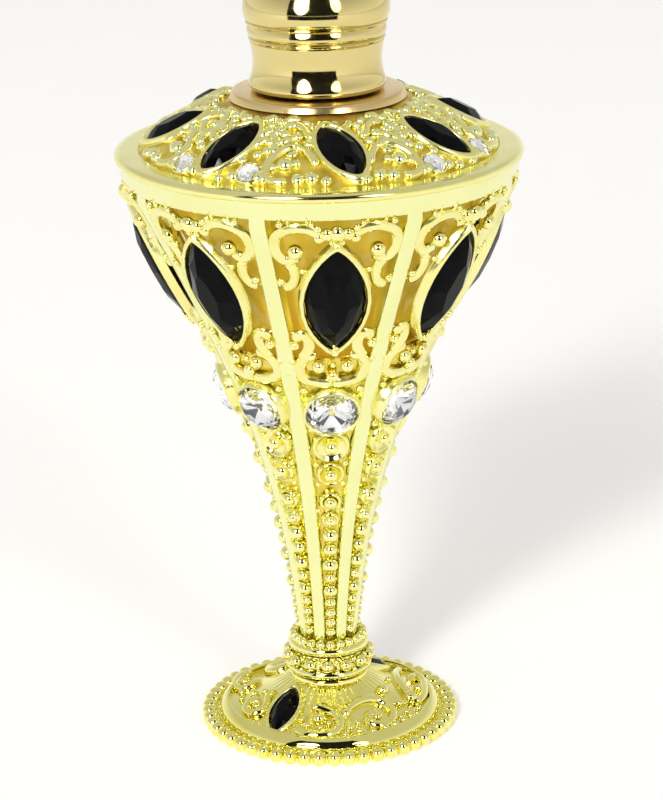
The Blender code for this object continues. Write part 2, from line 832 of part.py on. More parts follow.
def make_stopper():
    washer_radius = collar_radius - collar_wall / 2
    outline = [
        (plug_radius + clearance, washer_bottom),
        (washer_radius, washer_bottom),
        (washer_radius, washer_bottom + washer_thickness),
        (plug_radius + clearance, washer_bottom + washer_thickness),
    ]
    piece("seal_washer", smoothed(turned("seal_washer", outline, glass_sides, ring=True)), rubber)

    plug_bottom = plug_flange_bottom - plug_length
    chamfer = clearance
    outline = [
        (plug_bore, plug_bottom),
        (plug_radius - chamfer, plug_bottom),
        (plug_radius, plug_bottom + chamfer),
        (plug_radius, plug_flange_bottom),
        (cap_bore_radius - clearance, plug_flange_bottom),
        (cap_bore_radius - clearance, plug_flange_top),
        (plug_bore, plug_flange_top),
    ]
    piece("stopper_sleeve", smoothed(turned("stopper_sleeve", outline, glass_sides, ring=True)), plastic)

    tip_low = lip_top - (lip_top - vial_floor) * rod_reach_share
    middle = tip_low + rod_tip_radius
    profile = []
    steps = 5
    for k in range(1, steps):
        angle = pi * k / steps - pi / 2
        profile.append((rod_tip_radius * cos(angle), middle + rod_tip_radius * sin(angle)))
    profile += [(rod_radius, middle + rod_tip_radius), (rod_radius, plug_flange_top - clearance)]
    piece("dabber_rod", smoothed(turned("dabber_rod", profile, small_sides)), vial_glass)


def make_screw():
    bottom = screw_recess
    head_top = bottom + screw_head_height
    edge = screw_head_height / 4
    profile = [
        (screw_head_radius - edge, bottom),
        (screw_head_radius, bottom + edge),
        (screw_head_radius, head_top),
        (screw_radius, head_top),
        (screw_radius, cone_bottom + screw_reach - edge),
        (screw_radius - edge, cone_bottom + screw_reach),
    ]
    piece("foot_screw", smoothed(turned("foot_screw", profile, small_sides)), steel)


for old in list(bpy.data.objects):
    bpy.data.objects.remove(old, do_unlink=True)

make_foot()
make_screw()
make_knop()
make_cone()
make_vial()
make_shoulder()
make_flange()
make_stopper()
make_cap()
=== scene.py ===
# Decorative perfume oil bottle: a cast gold cone with black navettes and clear crystals.
# Lengths in the dictionaries are in millimetres, azimuths in degrees from the front (-Y) towards +X.
from math import atan, atan2, cos, degrees, hypot, pi, radians, sin, tau

import bmesh
import bpy
import numpy as np
from mathutils import Matrix, Vector


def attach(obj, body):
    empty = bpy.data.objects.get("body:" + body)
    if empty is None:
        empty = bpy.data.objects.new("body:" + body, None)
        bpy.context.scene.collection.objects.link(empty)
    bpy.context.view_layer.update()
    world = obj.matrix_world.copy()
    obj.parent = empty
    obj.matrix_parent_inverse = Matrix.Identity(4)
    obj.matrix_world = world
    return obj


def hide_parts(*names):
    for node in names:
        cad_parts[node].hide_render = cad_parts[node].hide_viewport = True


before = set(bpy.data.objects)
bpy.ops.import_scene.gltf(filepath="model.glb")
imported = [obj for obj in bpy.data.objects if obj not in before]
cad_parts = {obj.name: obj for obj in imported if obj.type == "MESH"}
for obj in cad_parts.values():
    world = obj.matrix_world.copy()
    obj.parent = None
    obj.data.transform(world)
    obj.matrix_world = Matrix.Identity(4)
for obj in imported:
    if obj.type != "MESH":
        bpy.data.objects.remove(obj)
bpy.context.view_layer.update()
print("frame loaded with", len(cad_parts), "solids")

mm = 0.001
up = Vector((0, 0, 1))

cone = {
    "bottom": 9.4, "top": 71.4, "bandBottom": 69.5, "topRadius": 23.6,
    "bendHeight": 23.9, "bendSoftness": 26.3,
    "wall": 1.1, "panelDepth": 0.9, "thinning": 6, "panels": 8, "turn": 4.7, "windowLow": 50.6,
}
dome = {"rimInner": 21.1, "flange": 10.4, "rimTop": 72.75, "rise": 5.6, "crown": 0.6}
dish = {"lip": 12.4, "collar": 4.7, "floor": 2, "rise": 3.4, "curve": 1.6}
slopeStep = 0.05


# Surfaces that the ornaments sit on

def coneRadius(z):
    bend = z - cone["bottom"] - cone["bendHeight"]
    last = cone["bandBottom"] - cone["bottom"] - cone["bendHeight"]
    soft = cone["bendSoftness"]
    return cone["topRadius"] * (bend + hypot(bend, soft)) / (last + hypot(last, soft))


def panelDepth(z):
    # the panels are cut less deep where the cone is thin
    return min(cone["panelDepth"], coneRadius(z) / cone["thinning"])


def panelFloor(z):
    return coneRadius(z) - panelDepth(z)


def domeLevel(radius):
    way = (dome["rimInner"] - radius) / (dome["rimInner"] - dome["flange"])
    return dome["rimTop"] + dome["rise"] * way + dome["crown"] * sin(pi * min(max(way, 0), 1))


def dishLevel(radius):
    way = min(max((dish["lip"] - radius) / (dish["lip"] - dish["collar"]), 0), 1)
    return dish["floor"] + dish["rise"] * way ** dish["curve"]


def slope(level, at):
    return (level(at + slopeStep) - level(at - slopeStep)) / (2 * slopeStep)


def seat(azimuth, radius, z, rise, lift=0):
    # local x across the surface, y up along it, z out of it; rise is the normal's angle above level
    across = Vector((cos(azimuth), sin(azimuth), 0))
    radial = Vector((sin(azimuth), -cos(azimuth), 0))
    out = radial * cos(rise) + up * sin(rise)
    along = up * cos(rise) - radial * sin(rise)
    place = Matrix((across, along, out)).transposed().to_4x4()
    place.translation = radial * radius + up * z + out * lift
    return place


def coneSeat(across, z, lift=0):
    # on the panel at azimuth zero: across is in millimetres from its middle
    radius = coneRadius(z)
    return seat(across / radius, radius, z, -atan(slope(coneRadius, z)), lift)


def levelSeat(level, azimuth, radius, lift=0):
    return seat(radians(azimuth), radius, level(radius), atan2(1, -slope(level, radius)), lift)


def dishAt(x, y, lift):
    return levelSeat(dishLevel, degrees(atan2(x, -y)), hypot(x, y), lift)


# Shapes are (points, faces); a piece is made of many of them

poleWidth = 0.004  # share of a ball's radius left open at its poles
wireEnds = {"tip": 0.55, "last": 0.6, "points": 3}  # a wire's ends thin to a share of it over some points
flatWithin = 1  # degrees between facets that count as one


def loft(loops, ring=False):
    size = len(loops[0])
    points = np.array([tuple(p) for loop in loops for p in loop])
    faces = []
    last = len(loops) if ring else len(loops) - 1
    for row in range(last):
        near, far = row * size, (row + 1) % len(loops) * size
        for k in range(size):
            step = (k + 1) % size
            faces.append((near + k, near + step, far + step, far + k))
    if not ring:
        faces.append(tuple(range(size))[::-1])
        faces.append(tuple(range(len(points) - size, len(points))))
    return points, faces


def turned(outline, sides=96, ring=True, wave=None):
    # an outline of (radius, z) turned round the axis; wave may give each point another height
    angles = [tau * k / sides for k in range(sides)]
    return loft([[(radius * sin(a), -radius * cos(a), z + (wave(a, radius) if wave else 0)) for a in angles]
                 for radius, z in outline], ring)


def circle(radius, z, sides, turn=0, depth=None):
    # an ellipse where a depth is given
    angles = [tau * (k + turn) / sides for k in range(sides)]
    return [(radius * cos(a), (depth or radius) * sin(a), z) for a in angles]


def ball(radius, stretch=(1, 1, 1), segments=18, rings=10):
    wide, deep, tall = (radius * share for share in stretch)
    loops = []
    for row in range(rings + 1):
        angle = pi * row / rings - pi / 2
        flat = max(cos(angle), poleWidth)
        loops.append(circle(wide * flat, tall * sin(angle), segments, 0, deep * flat))
    return loft(loops)


def placed(shape, place):
    points, faces = shape
    m = np.array(place)
    return points @ m[:3, :3].T + m[:3, 3], faces


def turnZ(angle):
    return Matrix.Rotation(radians(angle), 4, "Z")


def spun(shapes, count, turn=0):
    # copies round the axis
    made = []
    for k in range(count):
        place = turnZ(turn + k * 360 / count)
        made += [placed(shape, place) for shape in shapes]
    return made


def curveThrough(points, steps=7):
    # Catmull-Rom spline in the plane of the ornament
    points = [Vector(p) for p in points]
    ends = [points[0] * 2 - points[1], *points, points[-1] * 2 - points[-2]]
    made = []
    for a, b, c, d in zip(ends, ends[1:], ends[2:], ends[3:]):
        for k in range(steps):
            t = k / steps
            made.append(0.5 * (b * 2 + (c - a) * t + (a * 2 - b * 5 + c * 4 - d) * t ** 2
                               + (b * 3 - a - c * 3 + d) * t ** 3))
    return made + [points[-1]]


def wire(places, width, height, sides=10):
    # rounded bar through a row of seats, thinner at its two ends
    loops = []
    last = len(places) - 1
    tip = wireEnds["tip"]
    for k, place in enumerate(places):
        run = places[min(k + 1, last)].translation - places[max(k - 1, 0)].translation
        out = place.col[2].to_3d()
        side = run.normalized().cross(out).normalized()
        edge = min(k, last - k)
        share = min(1, tip + (1 - tip) * edge / wireEnds["points"]) if edge else tip * wireEnds["last"]
        loop = []
        for j in range(sides):
            angle = tau * (j + 0.5) / sides
            loop.append(place.translation + side * cos(angle) * width / 2 * share
                        + out * sin(angle) * height / 2 * share)
        loops.append(loop)
    return loft(loops)


def navette(halfLength, halfWidth, z=0, steps=10, power=0.84):
    # pointed oval with its points at the ends of y; a smaller power gives blunter points
    right = []
    for k in range(steps):
        y = -cos(pi * k / steps)
        right.append(Vector((halfWidth * (1 - y * y) ** power, halfLength * y, z)))
    return right + [Vector((-p.x, -p.y, p.z)) for p in right]


def navetteSetting(stone):
    # pointed wall round a stone, open in the middle, with its tips drawn out
    wall, low, high = stone["setting"]
    rows = [(0.02, low), (wall * 1.25, low), (wall * 1.1, high - wall * 0.7), (wall * 0.88, high - 0.12),
            (wall * 0.62, high), (wall * 0.3, high - 0.03), (0.05, high - 0.2)]
    return loft([navette(stone["halfLength"] + grow * 1.7, stone["halfWidth"] + grow, z, 14, stone["power"])
                 for grow, z in rows], ring=True)


def roundSetting(stone, sides=36):
    wall, low, high = stone["setting"]
    rows = [(0.02, low), (wall * 1.3, low), (wall * 1.15, high - wall * 0.7), (wall * 0.9, high - 0.1),
            (wall * 0.55, high), (0.08, high - 0.08), (0.03, high - 0.2)]
    return loft([circle(stone["radius"] + grow, z, sides) for grow, z in rows], ring=True)


def linked(name, data):
    made = bpy.data.objects.new(name, data)
    bpy.context.scene.collection.objects.link(made)
    return made


def make(name, shapes, material, body, replaced=(), angle=40, flat=False):
    points, faces, start = [], [], 0
    for shapePoints, shapeFaces in shapes:
        points.append(shapePoints)
        faces += [tuple(i + start for i in face) for face in shapeFaces]
        start += len(shapePoints)
    mesh = bpy.data.meshes.new(name)
    mesh.from_pydata((np.concatenate(points) * mm).tolist(), [], faces)
    work = bmesh.new()
    work.from_mesh(mesh)
    bmesh.ops.recalc_face_normals(work, faces=work.faces)
    work.to_mesh(mesh)
    work.free()
    if not flat:
        mesh.shade_smooth()
        mesh.set_sharp_from_angle(angle=radians(angle))
    mesh.materials.append(material)
    made = linked(name, mesh)
    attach(made, body)
    if replaced:
        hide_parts(*replaced)
    return made


def cast(name, shapes, material, replaced=(), angle=40):
    return make(name, shapes, material, "bottle", replaced, angle)


def setStone(name, shape, place, material, node):
    make(name, [placed(shape, place)], material, "bottle", [node], flat=True)


def cut(points):
    # faceted stone: the convex hull of its corners, with flat facets
    work = bmesh.new()
    for p in points:
        work.verts.new(tuple(p))
    bmesh.ops.convex_hull(work, input=work.verts)
    bmesh.ops.dissolve_limit(work, angle_limit=radians(flatWithin), verts=work.verts, edges=work.edges)
    work.verts.ensure_lookup_table()
    work.verts.index_update()
    made = np.array([tuple(v.co) for v in work.verts]), [tuple(v.index for v in f.verts) for f in work.faces]
    work.free()
    return made


# Materials: each finish drifts between two colours, and its roughness with it

goldFinish = {
    "light": (0.93, 0.895, 0.4), "deep": (0.91, 0.85, 0.32), "patchScale": 260, "scale": 2600, "detail": 2,
    "smoothest": 0.18, "roughest": 0.27, "grain": 0.03, "grainDepth": 0.03,
    "sockets": {"Metallic": 1},
}
# painted shade: the dome's ground between the ornaments is a darker amber copy of the gold, in patches,
# standing in for shade between the filigree
groundShadeFinish = {
    **goldFinish, "light": (0.84, 0.69, 0.15), "deep": (0.52, 0.35, 0.04), "patchScale": 420, "scale": 2200,
    "smoothest": 0.36, "roughest": 0.5, "grain": 0.1,
}
# painted light: a paler, lemon copy of the gold for the ribs, band and shoulder beads, standing in for the
# bright reflections they catch
paleLitFinish = {
    **goldFinish, "light": (0.91, 0.925, 0.47), "deep": (0.89, 0.9, 0.43), "patchScale": 180,
    "smoothest": 0.14, "roughest": 0.22, "grain": 0.02,
}
footFinish = {
    **goldFinish, "light": (0.93, 0.88, 0.33), "deep": (0.9, 0.83, 0.25),
    "smoothest": 0.02, "roughest": 0.05, "grain": 0.006,
}
# painted shade: the recessed panel floors get a darker, more orange copy of the gold, standing in for shade in
# the recesses
recessShadeFinish = {
    **goldFinish, "light": (0.87, 0.75, 0.2), "deep": (0.74, 0.58, 0.1), "patchScale": 330, "scale": 2200,
    "smoothest": 0.16, "roughest": 0.28, "grain": 0.06,
}
champagneFinish = {
    **goldFinish, "light": (0.75, 0.64, 0.29), "deep": (0.72, 0.6, 0.25), "patchScale": 90, "scale": 1500,
    "smoothest": 0.05, "roughest": 0.1, "grain": 0.02,
}
flangeFinish = {
    **champagneFinish, "light": (0.8, 0.62, 0.3), "deep": (0.75, 0.55, 0.23),
    "smoothest": 0.19, "roughest": 0.26, "grain": 0.01,
}
jetFinish = {
    "light": (0.003, 0.0028, 0.0035), "deep": (0.001, 0.001, 0.0012), "scale": 700, "detail": 2,
    "smoothest": 0.015, "roughest": 0.05, "sockets": {"IOR": 1.5, "Specular IOR Level": 0.07},
}
crystalFinish = {
    "light": (1, 1, 1), "deep": (0.96, 0.97, 0.98), "scale": 500, "detail": 1,
    "smoothest": 0, "roughest": 0.02, "sockets": {"Transmission Weight": 1, "IOR": 1.55},
}
foilFinish = {
    "light": (1, 1, 1), "deep": (0.86, 0.87, 0.9), "scale": 1100, "detail": 1,
    "smoothest": 0.05, "roughest": 0.15, "sockets": {"Metallic": 0.3},
}
plasticFinish = {
    "light": (0.86, 0.85, 0.81), "deep": (0.8, 0.79, 0.75), "scale": 400, "detail": 3,
    "smoothest": 0.32, "roughest": 0.47, "grain": 0.1, "grainDepth": 0.05, "sockets": {},
}
# painted light: the vial's emission makes it glow faintly, standing in for light that falls into the cage
vialFinish = {
    "light": (1, 0.84, 0.16), "deep": (0.97, 0.68, 0.05), "scale": 420, "detail": 3, "rough": 0.6,
    "stretch": (1, 1, 0.04), "smoothest": 0.04, "roughest": 0.16, "grain": 0.35, "grainDepth": 0.1,
    "sockets": {"Transmission Weight": 0.08, "IOR": 1.5, "Emission Color": (1, 0.72, 0.06, 1)},
    "lit": 0.15, "paintedGlowEnd": (66, 73),
}


def newMaterial(name):
    material = bpy.data.materials.new(name)
    material.use_nodes = True
    tree = material.node_tree
    return material, tree, tree.nodes["Principled BSDF"]


def setInputs(node, values):
    for socket, value in values.items():
        node.inputs[socket].default_value = value


def noise(tree, scale, detail=3, rough=0.5, stretch=None):
    coords = tree.nodes.new("ShaderNodeTexCoord").outputs["Object"]
    texture = tree.nodes.new("ShaderNodeTexNoise")
    setInputs(texture, {"Scale": scale, "Detail": detail, "Roughness": rough})
    if stretch:
        mapping = tree.nodes.new("ShaderNodeMapping")
        setInputs(mapping, {"Scale": stretch})
        tree.links.new(coords, mapping.inputs["Vector"])
        coords = mapping.outputs["Vector"]
    tree.links.new(coords, texture.inputs["Vector"])
    return texture.outputs["Fac"]


def between(tree, source, low, high, fromLow=0.35, fromHigh=0.65):
    spread = tree.nodes.new("ShaderNodeMapRange")
    setInputs(spread, {"From Min": fromLow, "From Max": fromHigh, "To Min": low, "To Max": high})
    tree.links.new(source, spread.inputs["Value"])
    return spread.outputs["Result"]


def blendColours(tree, source, first, second, fromLow=0.35, fromHigh=0.65):
    ramp = tree.nodes.new("ShaderNodeValToRGB")
    for stop, position, colour in zip(ramp.color_ramp.elements, (fromLow, fromHigh), (first, second)):
        stop.position = position
        stop.color = (*colour, 1)
    tree.links.new(source, ramp.inputs["Fac"])
    return ramp.outputs["Color"]


def finished(name, finish, **changes):
    # the fine cloud drives roughness and grain, and the colour too where there is no patchScale
    finish = {**finish, **changes}
    material, tree, shader = newMaterial(name)
    fine = noise(tree, finish["scale"], finish["detail"], finish.get("rough", 0.5), finish.get("stretch"))
    patch = noise(tree, finish["patchScale"], finish["detail"]) if "patchScale" in finish else fine
    tree.links.new(blendColours(tree, patch, finish["deep"], finish["light"]), shader.inputs["Base Color"])
    tree.links.new(between(tree, fine, finish["smoothest"], finish["roughest"]), shader.inputs["Roughness"])
    setInputs(shader, finish["sockets"])
    if "grain" in finish:
        relief = tree.nodes.new("ShaderNodeBump")
        setInputs(relief, {"Strength": finish["grain"], "Distance": finish["grainDepth"] * mm})
        tree.links.new(fine, relief.inputs["Height"])
        tree.links.new(relief.outputs["Normal"], shader.inputs["Normal"])
    if "lit" in finish:
        # painted glow: a faint emission on the oil stands in for light falling into the cage, and fades out
        # below the neck
        low, high = finish["paintedGlowEnd"]
        split = tree.nodes.new("ShaderNodeSeparateXYZ")
        tree.links.new(tree.nodes.new("ShaderNodeTexCoord").outputs["Object"], split.inputs["Vector"])
        tree.links.new(between(tree, split.outputs["Z"], finish["lit"], 0, low * mm, high * mm),
                       shader.inputs["Emission Strength"])
    return material


castGold = finished("cast gold plate", goldFinish)
recessShadeGold = finished("recessed gold plate with painted shade", recessShadeFinish)
groundShadeGold = finished("gold ground with painted shade", groundShadeFinish)
polishedGold = finished("polished gold plate", goldFinish, smoothest=0.02, roughest=0.045, grain=0.006)
paleLitGold = finished("pale gold plate with painted light", paleLitFinish)
rolledGold = finished("rolled gold plate", goldFinish, smoothest=0.08, roughest=0.13, grain=0.02)
drawnGold = finished("drawn gold plate", footFinish, smoothest=0.11, roughest=0.18, grain=0.04)
deepGold = finished("deep gold plate", footFinish)
champagne = finished("champagne plate", champagneFinish)
flangePlate = finished("champagne flange plate", flangeFinish)
jet = finished("black glass", jetFinish)
crystal = finished("clear crystal", crystalFinish)
silverFoil = finished("silver foil", foilFinish)
whiteFoil = finished("white foil", foilFinish, deep=(0.97, 0.98, 1), sockets={"Metallic": 0})
# painted reflection: near-black foil for facets that stand in for dark reflections
paintedReflectionFoil = finished("foil with painted dark reflection", foilFinish, light=(0.05, 0.05, 0.06), deep=(0.01, 0.01, 0.012),
                    sockets={"Metallic": 0.2})
amberGlass = finished("amber vial glass with painted glow", vialFinish)
clearGlass = finished("clear rod glass", vialFinish, light=(0.97, 0.98, 0.97), deep=(0.93, 0.95, 0.93), lit=0,
                      sockets={**vialFinish["sockets"], "Transmission Weight": 1})
whitePlastic = finished("white plastic", plasticFinish)
foam = finished("washer foam", plasticFinish, light=(0.78, 0.77, 0.72), deep=(0.7, 0.69, 0.64), scale=2500,
                smoothest=0.75, roughest=0.9)
steel = finished("screw steel", plasticFinish, light=(0.65, 0.65, 0.66), deep=(0.55, 0.55, 0.56), scale=900,
                 smoothest=0.25, roughest=0.4, sockets={"Metallic": 1})
print("materials made")


# Cone: cast wall, skirt, band and ribs

coneWall = {
    "base": [(1.7, 9.42), (4.75, 9.42), (4.9, 9.6), (4.86, 9.85), (4.4, 10.15), (4.05, 10.5)],
    "from": 10.8, "step": 1.2, "inside": 36.4, "insideSteps": 8,
    "plug": [(0.01, 36.4), (0.01, 18.6), (1.7, 18.6)],
}
skirt = {"ring": 4.4, "z": 9.98, "radius": 0.58, "turns": range(-100, 101, 20),
         "back": [(3.9, 10.4), (3.9, 9.5)]}
ribs = {"widthTop": 2.02, "widthBottom": 1.38, "wideFrom": 42, "low": 10.9, "overlap": 0.5, "inset": 0.42,
        "bevel": 0.16, "flat": 0.4, "depth": 1.9, "steps": 40}


def wallOutline():
    low, outline = cone["windowLow"], list(coneWall["base"])
    z = coneWall["from"]
    while z < low - 0.3:
        outline.append((panelFloor(z), z))
        z += coneWall["step"]
    floor = panelFloor(low)
    outline += [(floor, low), (floor - 0.25, low + 0.15), (floor - cone["wall"], low)]
    for k in range(coneWall["insideSteps"] + 1):
        z = low + (coneWall["inside"] - low) * k / coneWall["insideSteps"]
        outline.append((panelFloor(z) - cone["wall"], z))
    return outline + coneWall["plug"]


def ribSection(z):
    share = min(1, (z - ribs["low"]) / (ribs["wideFrom"] - ribs["low"]))
    half = (ribs["widthBottom"] + (ribs["widthTop"] - ribs["widthBottom"]) * share) / 2
    outer = min(coneRadius(z), cone["topRadius"] - ribs["inset"])
    inner = outer - min(ribs["depth"], outer / 2)
    b = ribs["bevel"]
    right = [(half * ribs["flat"], outer), (half - b, outer - b * 0.12), (half - b * 0.3, outer - b * 0.7),
             (half, outer - b * 2.2), (half, inner)]
    return [(x, -y, z) for x, y in [(-x, y) for x, y in right[::-1]] + right]


def makeCone():
    cast("coneWall", [turned(wallOutline(), sides=128)], recessShadeGold, ["body_shell"])
    turns = [radians(a) for a in skirt["turns"]]
    edge = [(skirt["ring"] + skirt["radius"] * cos(a), skirt["z"] + skirt["radius"] * sin(a)) for a in turns]
    cast("coneSkirt", [turned(edge + skirt["back"], sides=112)], polishedGold)
    low, top, radius = cone["bandBottom"], cone["top"] + 0.19, cone["topRadius"]
    inner = radius - cone["panelDepth"] - cone["wall"]
    band = [(inner, low), (radius - 0.8, low - 0.05), (radius - 0.5, low + 0.03), (radius - 0.4, low + 0.2),
            (radius - 0.02, top), (inner, top)]
    cast("coneBand", [turned(band, sides=160)], paleLitGold)
    length = cone["bandBottom"] + ribs["overlap"] - ribs["low"]
    bar = loft([ribSection(ribs["low"] + length * k / ribs["steps"]) for k in range(ribs["steps"] + 1)])
    cast("coneRibs", spun([bar], cone["panels"], cone["turn"] + 180 / cone["panels"]), paleLitGold, angle=50)


makeCone()
print("cone made")


# Filigree on each panel: paths run (across, z) on its right half and are mirrored

scrolls = {
    "main": {"width": 1.38, "height": 1.15, "lift": -0.38, "steps": 7},
    "ends": {"width": 0.7, "height": 1, "lift": -0.6, "steps": 3},
    "paths": {
        "volute": [(1.55, 67.2), (2.35, 67.8), (3.4, 68.3), (4.7, 68.45), (5.9, 68.1), (6.8, 67.4),
                   (7.1, 66.4), (6.95, 65.4), (6.4, 64.6), (5.7, 64.15), (4.95, 64.3), (4.45, 64.85)],
        "side": [(5.75, 64.2), (5.05, 63.4), (4.65, 62.3), (4.75, 61.3), (5.2, 60.7), (6, 60.6)],
        "lower": [
            (4.45, 53.1), (4.1, 53.85), (3.5, 53.9), (2.98, 53.2), (2.85, 52.2), (3.2, 51.3), (3.75, 50.5)],
        "heart": [(2, 50.8), (2.7, 51), (3.45, 50.5), (3.9, 49.5), (3.8, 48.4), (3.1, 47.65), (2, 47.35),
                  (0.95, 47.2), (0, 47.3)],
    },
    # short bars that tie the scrolls to the ribs, the band and each other
    "feet": [[(6.9, 66.3), (7.9, 66.5)], [(4.7, 62), (3.7, 62.2)], [(5.9, 60.6), (7, 60.7)],
             [(3.4, 68.4), (3.5, 69.7)], [(5.6, 68.3), (5.7, 69.7)], [(0, 47.3), (0, 46.6)],
             [(3.2, 53.6), (2.2, 54.1)], [(4.1, 53.8), (5, 54.1)]],
}
panelBeads = {
    # (across, z, radius, lift), mirrored where across isn't zero
    "round": [
        (4.6, 65.7, 0.92, 0.1), (6.15, 61.55, 0.46, 0), (3.72, 63, 0.38, 0), (4.5, 52.75, 0.6, 0.05),
        (1.65, 49.8, 0.8, 0), (0, 49.85, 0.36, -0.2), (0, 48.4, 0.74, -0.1), (3.3, 46.3, 0.44, -0.1),
        (2.35, 40.75, 0.44, -0.2), (6.55, 69, 0.4, -0.2), (2.95, 69, 0.34, -0.25), (4.75, 50.3, 0.42, -0.2),
        (5, 48.5, 0.34, -0.3), (1.77, 35.8, 0.36, -0.15), (1.52, 33, 0.33, -0.15), (1.5, 29.3, 0.3, -0.1)],
    "fan": [(0, 67.95, 1, 0.05), (1.15, 67.85, 0.8, 0), (2.05, 67.35, 0.65, -0.05), (2.2, 68.5, 0.45, -0.1),
            (0.55, 66.75, 0.42, -0.05)],
    "column": [(25.7, 1), (23.7, 0.88), (21.6, 0.98), (19.75, 0.7), (18, 0.86), (16.35, 0.68), (14.95, 0.66),
               (13.6, 0.64), (12.25, 0.62)],
    "foot": {"count": 22, "radius": 0.6, "ring": 4.25, "z": 10.85, "turn": 3},
}
cups = [(38.3, 2.2, 0.86), (34.4, 1.62, 0.86), (30.5, 1.3, 0.8), (27.95, 1.05, 0.7)]  # z, radius, bead


def panelWire(path, size):
    places = [coneSeat(p.x, p.y, size["lift"]) for p in curveThrough(path, size["steps"])]
    return wire(places, size["width"], size["height"])


def mirrored(items):
    return items + [(-item[0], *item[1:]) for item in items if item[0]]


def cupShape(radius):
    rows = [(radius * 1.02, -0.95), (radius, -0.1), (radius - 0.1, 0.1), (radius - 0.22, 0.16),
            (radius - 0.36, 0.08), (radius - 0.46, -0.15), (radius * 0.55, -0.42), (radius * 0.25, -0.48),
            (0.01, -0.48), (0.01, -0.95)]
    return loft([circle(r, z, 30) for r, z in rows], ring=True)


def makeFiligree():
    wires, beads, dishes = [], [], []
    for path in scrolls["paths"].values():
        for side in (1, -1):
            wires.append(panelWire([(side * x, z) for x, z in path], scrolls["main"]))
    for path in scrolls["feet"]:
        for side in (1, -1) if path[0][0] else (1,):
            wires.append(panelWire([(side * x, z) for x, z in path], scrolls["ends"]))
    for kind, height in (("round", 1), ("fan", 0.8)):
        for x, z, radius, lift in mirrored(panelBeads[kind]):
            beads.append(placed(ball(radius, (1, 1, height)), coneSeat(x, z, lift)))
    for z, radius in panelBeads["column"]:
        beads.append(placed(ball(radius), coneSeat(0, z, radius * 0.35 - panelDepth(z) * 0.7)))
    for z, radius, beadRadius in cups:
        dishes.append(placed(cupShape(radius), coneSeat(0, z)))
        beads.append(placed(ball(beadRadius), coneSeat(0, z - 0.08, -0.05)))
    cast("coneScrolls", spun(wires, cone["panels"], cone["turn"]), castGold)
    cast("coneCups", spun(dishes, cone["panels"], cone["turn"]), rolledGold)
    ring = panelBeads["foot"]
    row = [placed(ball(ring["radius"]), seat(0, ring["ring"], ring["z"], 0))]
    cast("coneBeads", spun(beads, cone["panels"], cone["turn"]) + spun(row, ring["count"], ring["turn"]),
         polishedGold)


makeFiligree()
print("filigree made")


# Stones: table is shares of the length and width, setting is (wall, low, high)

bigStone = {"z": 59.186, "halfLength": 7.5, "halfWidth": 3.5, "girdle": 0.3, "crown": 1.6, "pavilion": 1.9,
            "table": (0.5, 0.4), "power": 0.84, "setting": (0.58, -0.6, 0.5)}
bigCrystal = {"z": 43.376, "radius": 3, "girdle": 0.3, "crown": 1.35, "pavilion": 1.02,
              "setting": (0.38, -1.7, 0.42)}
shoulderStone = {"ring": 16.595, "halfLength": 4.2, "halfWidth": 2.18, "girdle": 0.2, "crown": 0.95,
                 "pavilion": 1.2, "table": (0.54, 0.46), "power": 0.66, "setting": (0.64, -1.3, 0.3),
                 "skews": (20, 22, 28, 20, 0, -20, -28, -16)}
shoulderCrystal = {"ring": 19.76, "radius": 1.35, "girdle": 0.225, "crown": 0.62, "pavilion": 0.27,
                   "setting": (0.26, -1, 0.2), "spread": 13.2}
footStone = {"azimuths": (-39.5, 140.5), "ring": 8.55, "halfLength": 3.6, "halfWidth": 1.62, "girdle": 0.44,
             "crown": 0.75, "pavilion": 0.85, "table": (0.54, 0.46), "power": 0.84,
             "setting": (0.6, -1.3, 0.3), "skew": 16}
# a small twisted claw folded over the lower tip: beads (down the stone, out of it, radius)
claw = {"beads": [(7.75, 0.5, 0.42), (7.15, 0.75, 0.33), (6.6, 0.9, 0.26), (6.2, 0.95, 0.2)],
        "widths": (1.05, 0.8), "sway": 0.1}


def marquise(stone):
    length, width, crown = stone["halfLength"], stone["halfWidth"], stone["crown"]
    long, wide = stone["table"]
    corners = [p for z in (0, -0.15) for p in navette(length, width, z, 10, stone["power"])]
    corners += navette(length * 0.8, width * 0.78, crown * 0.58, 4)
    corners += navette(length * long, width * wide, crown, 4)
    return cut(corners + navette(length * 0.5, width * 0.45, -stone["pavilion"], 3))


def brilliant(stone):
    radius, crown, pavilion = stone["radius"], stone["crown"], stone["pavilion"]
    corners = circle(radius, 0.05, 16) + circle(radius, -0.12, 16)
    corners += circle(radius * 0.83, crown * 0.62, 8, 0.5) + circle(radius * 0.56, crown, 8)
    corners += circle(radius * 0.62, -pavilion * 0.42, 8, 0.5) + circle(radius * 0.12, -pavilion, 8)
    return cut(corners)


def foilCup(stone):
    # facets of foil just under the stone
    back = -stone["pavilion"]
    rows = [(0.985, -0.16, 0), (0.64, back * 0.45 - 0.05, 0.5), (0.12, back - 0.06, 0),
            (0.12, back - 0.14, 0), (0.66, back * 0.45 - 0.15, 0.5), (1, -0.26, 0)]
    return loft([circle(stone["radius"] * share, z, 16, turn) for share, z, turn in rows], ring=True)


def stoneSeat(level, azimuth, stone, skew=0):
    return levelSeat(level, azimuth, stone["ring"], stone["girdle"]) @ turnZ(skew)


